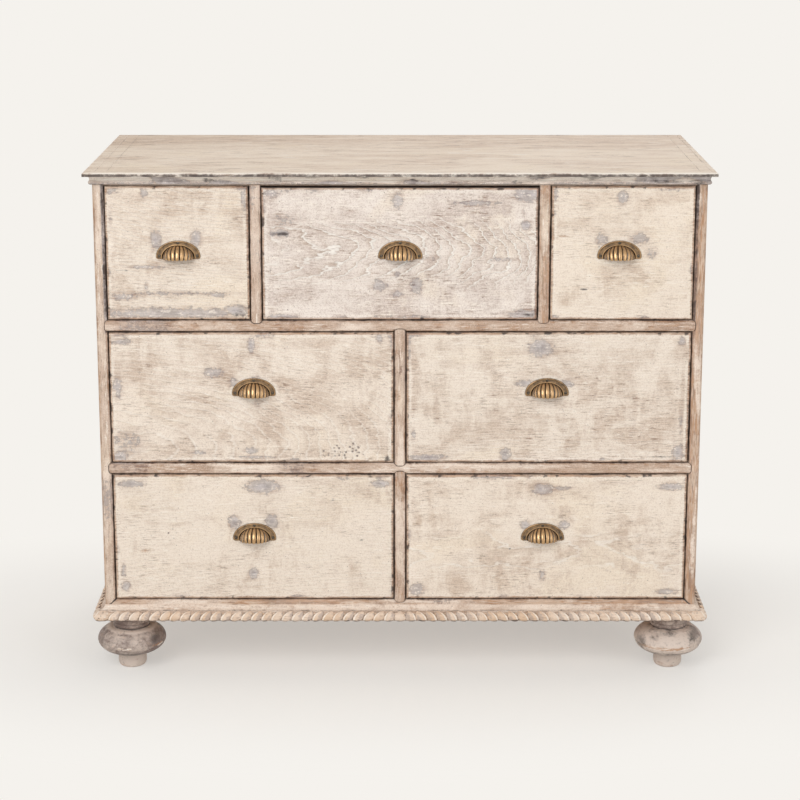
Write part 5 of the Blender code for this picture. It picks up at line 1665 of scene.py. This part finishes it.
def screw_mesh(pull):
    """A domed screw head with a worn slot, facing -Y."""
    levels = ((0.001, -0.0004), (1, -0.0004), (1, 0.0001), (0.93, 0.0004), (0.75, 0.0007), (0.45, 0.0009),
              (0.001, 0.00095))
    head = lofted("head", [disc(share * pull.screw, -out, 16) for share, out in levels])
    corners = ((-0.004, -0.0003), (0.004, -0.0003), (0.004, 0.0003), (-0.004, 0.0003))
    slot = lofted("slot", [[(x, y, z) for x, z in corners] for y in (-0.0005, -0.004)])
    return cut("screw", head, slot)


def screw_rule():
    """Three screws on a plate: one at the top and one at each lower end, each turned by chance."""
    rule = Rule("Pull screws", Float=("Reach", "Low", "High", "Out"), Int=("Seed",))
    given = rule.given
    side = rule.take(rule.shape("InputIndex"), 1)
    middle = rule.take(1, rule.math("ABSOLUTE", side, 0))
    climb = rule.times(middle, rule.take(given["High"], given["Low"]))
    place = rule.vector(rule.times(side, given["Reach"]), rule.times(given["Out"], -1),
                        rule.add(given["Low"], climb))
    return rule.end(rule.shape("InstanceOnPoints", {
        "Points": rule.shape("Points", {"Count": 3, "Position": place}),
        "Instance": given["Geometry"],
        "Rotation": rule.chance((0, -1.5, 0), (0, 1.5, 0), given["Seed"]),
    }))


def nail_rule():
    """Rows of nail heads over the back boards."""
    rule = Rule("Back nails", Int=("Columns", "Rows", "Seed"), Float=("Width", "Height"))
    given = rule.given
    grid = rule.shape("MeshGrid", {
        "Size X": given["Width"], "Size Y": given["Height"],
        "Vertices X": given["Columns"], "Vertices Y": given["Rows"],
    })
    place = rule.parts(rule.shape("InputPosition"))
    upright = rule.shape("SetPosition", {
        "Geometry": grid,
        "Position": rule.vector(place[0], 0, place[1]),
        "Offset": rule.chance((-0.004, 0, -0.004), (0.004, 0, 0.004), given["Seed"]),
    })
    return rule.end(rule.shape("InstanceOnPoints", {"Points": upright, "Instance": given["Geometry"]}))


# Operators, one for each piece or group of like pieces


class CHEST_OT_inner_boards(bpy.types.Operator):
    """Gives the boards inside, the drawer boxes and the base board their finishes"""

    bl_idname = "chest.inner_boards"
    bl_label = "Inner boards"

    def execute(self, context):
        paint = context.scene.chest_paint
        box_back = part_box("drawer_top_left_box")[1].y - 0.0135
        across = bare_pine("bare_pine_across", "X")
        deep = bare_pine("bare_pine_deep", "Y", 4)
        box = bare_pine("drawer_box_pine", "Y", 2, 0.3, box_back)
        bottom = bare_pine("thin_bottom_pine", "X", 9, 0.4)
        base = limed_pine("greyed_base_pine", "X", paint.frame_coat, paint.frame_thin, -0.05, 1.2, shift=3)
        choice = {
            "base_board": base, "rail_top": base,
            "dust_panel_upper": across, "dust_panel_lower": across, "bottom_panel": across,
            "partition_top_left": deep, "partition_top_right": deep,
            "partition_middle": deep, "partition_bottom": deep,
        }
        for drawer in DRAWERS:
            choice[f"{drawer}_box"] = box
            choice[f"{drawer}_bottom"] = bottom
        for name, finish in choice.items():
            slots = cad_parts[name].data.materials
            slots.clear()
            slots.append(finish)
        return {"FINISHED"}


class CHEST_OT_top_board(bpy.types.Operator):
    """Makes the limed top board"""

    bl_idname = "chest.top_board"
    bl_label = "Top board"

    def execute(self, context):
        paint = context.scene.chest_paint
        finish = limed_pine("limed_top_pine", "X", paint.top_coat, paint.top_thin, 0.03, 1.2, shift=11,
                            streaks=0.8, coarse=4.5)
        add_piece("limed_top", top_mesh(), finish, "top_board")
        return {"FINISHED"}


class CHEST_OT_cornice(bpy.types.Operator):
    """Makes the cove and bead under the top"""

    bl_idname = "chest.cornice"
    bl_label = "Cornice"

    def execute(self, context):
        coat, thin = screen(248, 236, 224), screen(204, 187, 174)
        for which, grain in (("front", "X"), ("left", "Y"), ("right", "Y")):
            finish = limed_pine(f"greyed_cornice_{grain}", grain, coat, thin, 0.02, 1.3, shift=15)
            name = f"cornice_{which}"
            add_piece(f"{name}_worn", cornice_mesh(which), finish, name)
        return {"FINISHED"}


class CHEST_OT_face_frame(bpy.types.Operator):
    """Makes the rounded stiles, rails and muntins with their lapping ends"""

    bl_idname = "chest.face_frame"
    bl_label = "Face frame"

    def execute(self, context):
        paint = context.scene.chest_paint
        tones = (paint.frame_coat, paint.frame_thin)
        upright_pine = limed_pine("frame_pine_upright", "Z", *tones, 0.02, 1.2, shift=21)
        level_pine = limed_pine("frame_pine_level", "X", *tones, 0, 1.2, shift=25)
        for name, upright, *member in frame_members():
            finish = upright_pine if upright else level_pine
            add_piece(f"{name}_worn", build_member(name, upright, *member), finish, name)
        for which in ("front", "left", "right"):
            finish = level_pine if which == "front" else upright_pine
            add_piece(f"base_cove_{which}", cove_mesh(which), finish)
        return {"FINISHED"}


class CHEST_OT_sides_and_back(bpy.types.Operator):
    """Makes the side panels and the nailed boards of the back"""

    bl_idname = "chest.sides_and_back"
    bl_label = "Sides and back"

    def execute(self, context):
        paint = context.scene.chest_paint
        finish = limed_pine("whitewashed_side_pine", "Z", paint.thick, paint.thin, 0.02, 1.1, shift=31)
        for side, name in ((-1, "side_panel_left"), (1, "side_panel_right")):
            add_piece(f"{name}_washed", side_mesh(side), finish, name)
        pine = bare_pine("back_pine", "Z", 6, 0.3)
        add_piece("back_boards", back_mesh(), pine, "back_panel")
        low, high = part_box("back_panel")
        steel = dark_steel("dull_nail_steel")
        levels = ((1, -0.0005), (1, 0.0002), (0.7, 0.0006), (0.01, 0.0007))
        nail = lofted("nail", [disc(0.0028 * share, out, 10) for share, out in levels])
        values = {"Columns": 9, "Rows": 5, "Width": high.x - low.x - 0.03, "Height": high.z - low.z - 0.04,
                  "Seed": 2, "Material": steel}
        nails = outward(grown("back_nails", nail, nail_rule(), values))
        nails.transform(Matrix.Translation((0, high.y, (low.z + high.z) / 2)))
        add_piece("back_nails", rounded(nails), steel)
        return {"FINISHED"}


class CHEST_OT_rope_moulding(bpy.types.Operator):
    """Carves the rope moulding round the base"""

    bl_idname = "chest.rope_moulding"
    bl_label = "Rope moulding"

    def execute(self, context):
        finish = rope_wood("carved_rope_pine")
        for which in ("front", "left", "right"):
            mesh = rope_mesh(which, finish)
            add_piece(f"rope_{which}_carved", mesh, finish, f"rope_moulding_{which}")
        return {"FINISHED"}


class CHEST_OT_bun_feet(bpy.types.Operator):
    """Turns the four bun feet"""

    bl_idname = "chest.bun_feet"
    bl_label = "Bun feet"

    def execute(self, context):
        finish = turned_foot_wood("stained_foot_wood")
        for place in ("front_left", "front_right", "rear_left", "rear_right"):
            name = f"foot_{place}"
            add_piece(f"{name}_turned", foot_mesh(name, finish), finish, name)
        return {"FINISHED"}


class CHEST_OT_drawer_fronts(bpy.types.Operator):
    """Makes the worn whitewashed drawer fronts"""

    bl_idname = "chest.drawer_fronts"
    bl_label = "Drawer fronts"

    def execute(self, context):
        paint = context.scene.chest_paint
        for number, drawer in enumerate(DRAWERS):
            low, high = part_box(f"{drawer}_front")
            middle = (low + high) / 2
            cover, cool, count, share, reach, *middles = FRONT_COATS[drawer]
            middles = [(middle.x + across, middle.z + up, *shape) for across, up, *shape in middles]
            thick = Vector(paint.thick).lerp(Vector(screen(238, 227, 218)), cool)
            thin = Vector(paint.thin).lerp(Vector(screen(212, 197, 188)), cool)
            finish = limed_pine(f"{drawer}_wash", "X", thick, thin, cover, 1, (middles, count, share, reach),
                                2 * number, 1 + 0.5 * cool)
            mesh = front_mesh(drawer, 3 * number)
            add_piece(f"{drawer}_worn_front", mesh, finish, f"{drawer}_front", drawer)
        return {"FINISHED"}


class CHEST_OT_cup_pulls(bpy.types.Operator):
    """Casts the fluted cup pulls and drives their screws"""

    bl_idname = "chest.cup_pulls"
    bl_label = "Cup pulls"

    def execute(self, context):
        pull = context.scene.chest_pull
        brass = antique_brass("antique_brass")
        steel = dark_steel("dark_screw_steel")
        casting = cup_pull_mesh()
        screw = screw_mesh(pull)
        tree = screw_rule()
        values = {"Reach": 0.0352, "Low": 0.0058, "High": 0.0301, "Out": 0.0015, "Material": steel}
        for number, drawer in enumerate(DRAWERS):
            low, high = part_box(f"{drawer}_pull")
            place = Matrix.Translation(((low.x + high.x) / 2, high.y, low.z))
            mesh = casting.copy()
            mesh.transform(place)
            add_piece(f"{drawer}_cup_pull", mesh, brass, f"{drawer}_pull", drawer)
            screws = outward(grown(f"{drawer}_screws", screw, tree, {**values, "Seed": number}))
            screws.transform(place)
            add_piece(f"{drawer}_screws", rounded(screws, 35), steel, body=drawer)
        return {"FINISHED"}


class CHEST_OT_stage(bpy.types.Operator):
    """Sets the floor, the soft light and the camera"""

    bl_idname = "chest.stage"
    bl_label = "Stage"

    def execute(self, context):
        stage = context.scene.chest_stage
        size = 40
        mesh = bpy.data.meshes.new("floor")
        corners = [(-size, -size, 0), (size, -size, 0), (size, size, 0), (-size, size, 0)]
        mesh.from_pydata(corners, [], [(0, 1, 2, 3)])
        mesh.materials.append(floor_finish(stage.ground))
        in_scene("floor", mesh)

        world = bpy.data.worlds.new("even_light")
        context.scene.world = world
        world.use_nodes = True
        tree = Tree(world.node_tree)
        seen = tree.node("Background", {"Color": stage.ground}).outputs[0]
        lit = tree.node("Background", {"Color": (1, 0.99, 0.97, 1), "Strength": stage.fill}).outputs[0]
        rays = tree.node("LightPath").outputs
        plain = tree.math("MAXIMUM", rays["Is Camera Ray"], rays["Is Glossy Ray"])
        both = tree.node("MixShader", {0: plain, 1: lit, 2: seen}).outputs[0]
        tree.node("OutputWorld", {"Surface": both})

        lamps = (
            ("key", (-1.6, -3.6, 3), (0, 0, 0.45), 2.6, stage.key),
            ("side", (2.6, -2.6, 1.8), (0, 0, 0.5), 2, stage.key * 0.22),
            ("back", (0.8, 3, 2.6), (0, 0, 0.6), 2.6, stage.key * 0.45),
        )
        for name, place, aim, width, power in lamps:
            light = bpy.data.lights.new(name, "AREA")
            light.shape = "SQUARE"
            light.size = width
            light.energy = power
            lamp = in_scene(name, light)
            lamp.location = place
            lamp.rotation_euler = (Vector(aim) - Vector(place)).to_track_quat("-Z", "Y").to_euler()

        lens = bpy.data.cameras.new("camera")
        lens.sensor_width = 36
        lens.lens = 93.33
        lens.shift_y = -0.12
        camera = in_scene("camera", lens)
        camera.location = (0, -4.02, 1.5631)
        camera.rotation_euler = (radians(77.608), 0, 0)
        context.scene.camera = camera
        context.scene.view_settings.view_transform = "Standard"
        return {"FINISHED"}


def floor_finish(ground):
    """A matt floor that takes the shadow near the chest and melts into the background further off."""
    f = Finish("pale_floor")
    spread = f.distance((0, 0, 0), (0.45, 1, 1))
    far = f.add(0.45, f.times(f.ramp(spread, 0.3, 0.7), 0.55))
    rays = f.node("LightPath").outputs
    plain = f.math("MAXIMUM", rays["Is Camera Ray"], rays["Is Glossy Ray"], rays["Is Transmission Ray"])
    matt = f.node("BsdfDiffuse", {"Color": screen(252, 250, 247)}).outputs[0]
    even = f.node("Emission", {"Color": ground, "Strength": 1}).outputs[0]
    both = f.node("MixShader", {0: f.times(far, plain), 1: matt, 2: even}).outputs[0]
    f.node("OutputMaterial", {"Surface": both})
    return f.material


OPERATORS = (
    CHEST_OT_inner_boards, CHEST_OT_top_board, CHEST_OT_cornice, CHEST_OT_face_frame, CHEST_OT_sides_and_back,
    CHEST_OT_rope_moulding, CHEST_OT_bun_feet, CHEST_OT_drawer_fronts, CHEST_OT_cup_pulls, CHEST_OT_stage,
)
SETTINGS = {
    "chest_paint": ("Paint", ChestPaint),
    "chest_frame": ("Face frame", ChestFrameSizes),
    "chest_rope": ("Rope", ChestRopeSizes),
    "chest_pull": ("Cup pulls", ChestPullSizes),
    "chest_stage": ("Stage", ChestStage),
}


class CHEST_PT_pieces(bpy.types.Panel):
    """Lists the chest's settings and the pieces to make"""

    bl_label = "Chest"
    bl_idname = "CHEST_PT_pieces"
    bl_space_type = "VIEW_3D"
    bl_region_type = "UI"
    bl_category = "Chest"

    def draw(self, context):
        for group, (label, kind) in SETTINGS.items():
            box = self.layout.box()
            box.label(text=label)
            for name in kind.__annotations__:
                box.prop(getattr(context.scene, group), name)
        for operator in OPERATORS:
            self.layout.operator(operator.bl_idname)


CLASSES = (*[kind for label, kind in SETTINGS.values()], *OPERATORS, CHEST_PT_pieces)


def register():
    for kind in CLASSES:
        bpy.utils.register_class(kind)
    for group, (label, kind) in SETTINGS.items():
        setattr(bpy.types.Scene, group, PointerProperty(type=kind))


def unregister():
    for group in SETTINGS:
        delattr(bpy.types.Scene, group)
    for kind in reversed(CLASSES):
        bpy.utils.unregister_class(kind)


def main():
    register()
    bpy.ops.chest.inner_boards()
    bpy.ops.chest.top_board()
    bpy.ops.chest.cornice()
    bpy.ops.chest.face_frame()
    bpy.ops.chest.sides_and_back()
    bpy.ops.chest.rope_moulding()
    bpy.ops.chest.bun_feet()
    bpy.ops.chest.drawer_fronts()
    bpy.ops.chest.cup_pulls()
    bpy.ops.chest.stage()


if __name__ == "__main__":
    main()
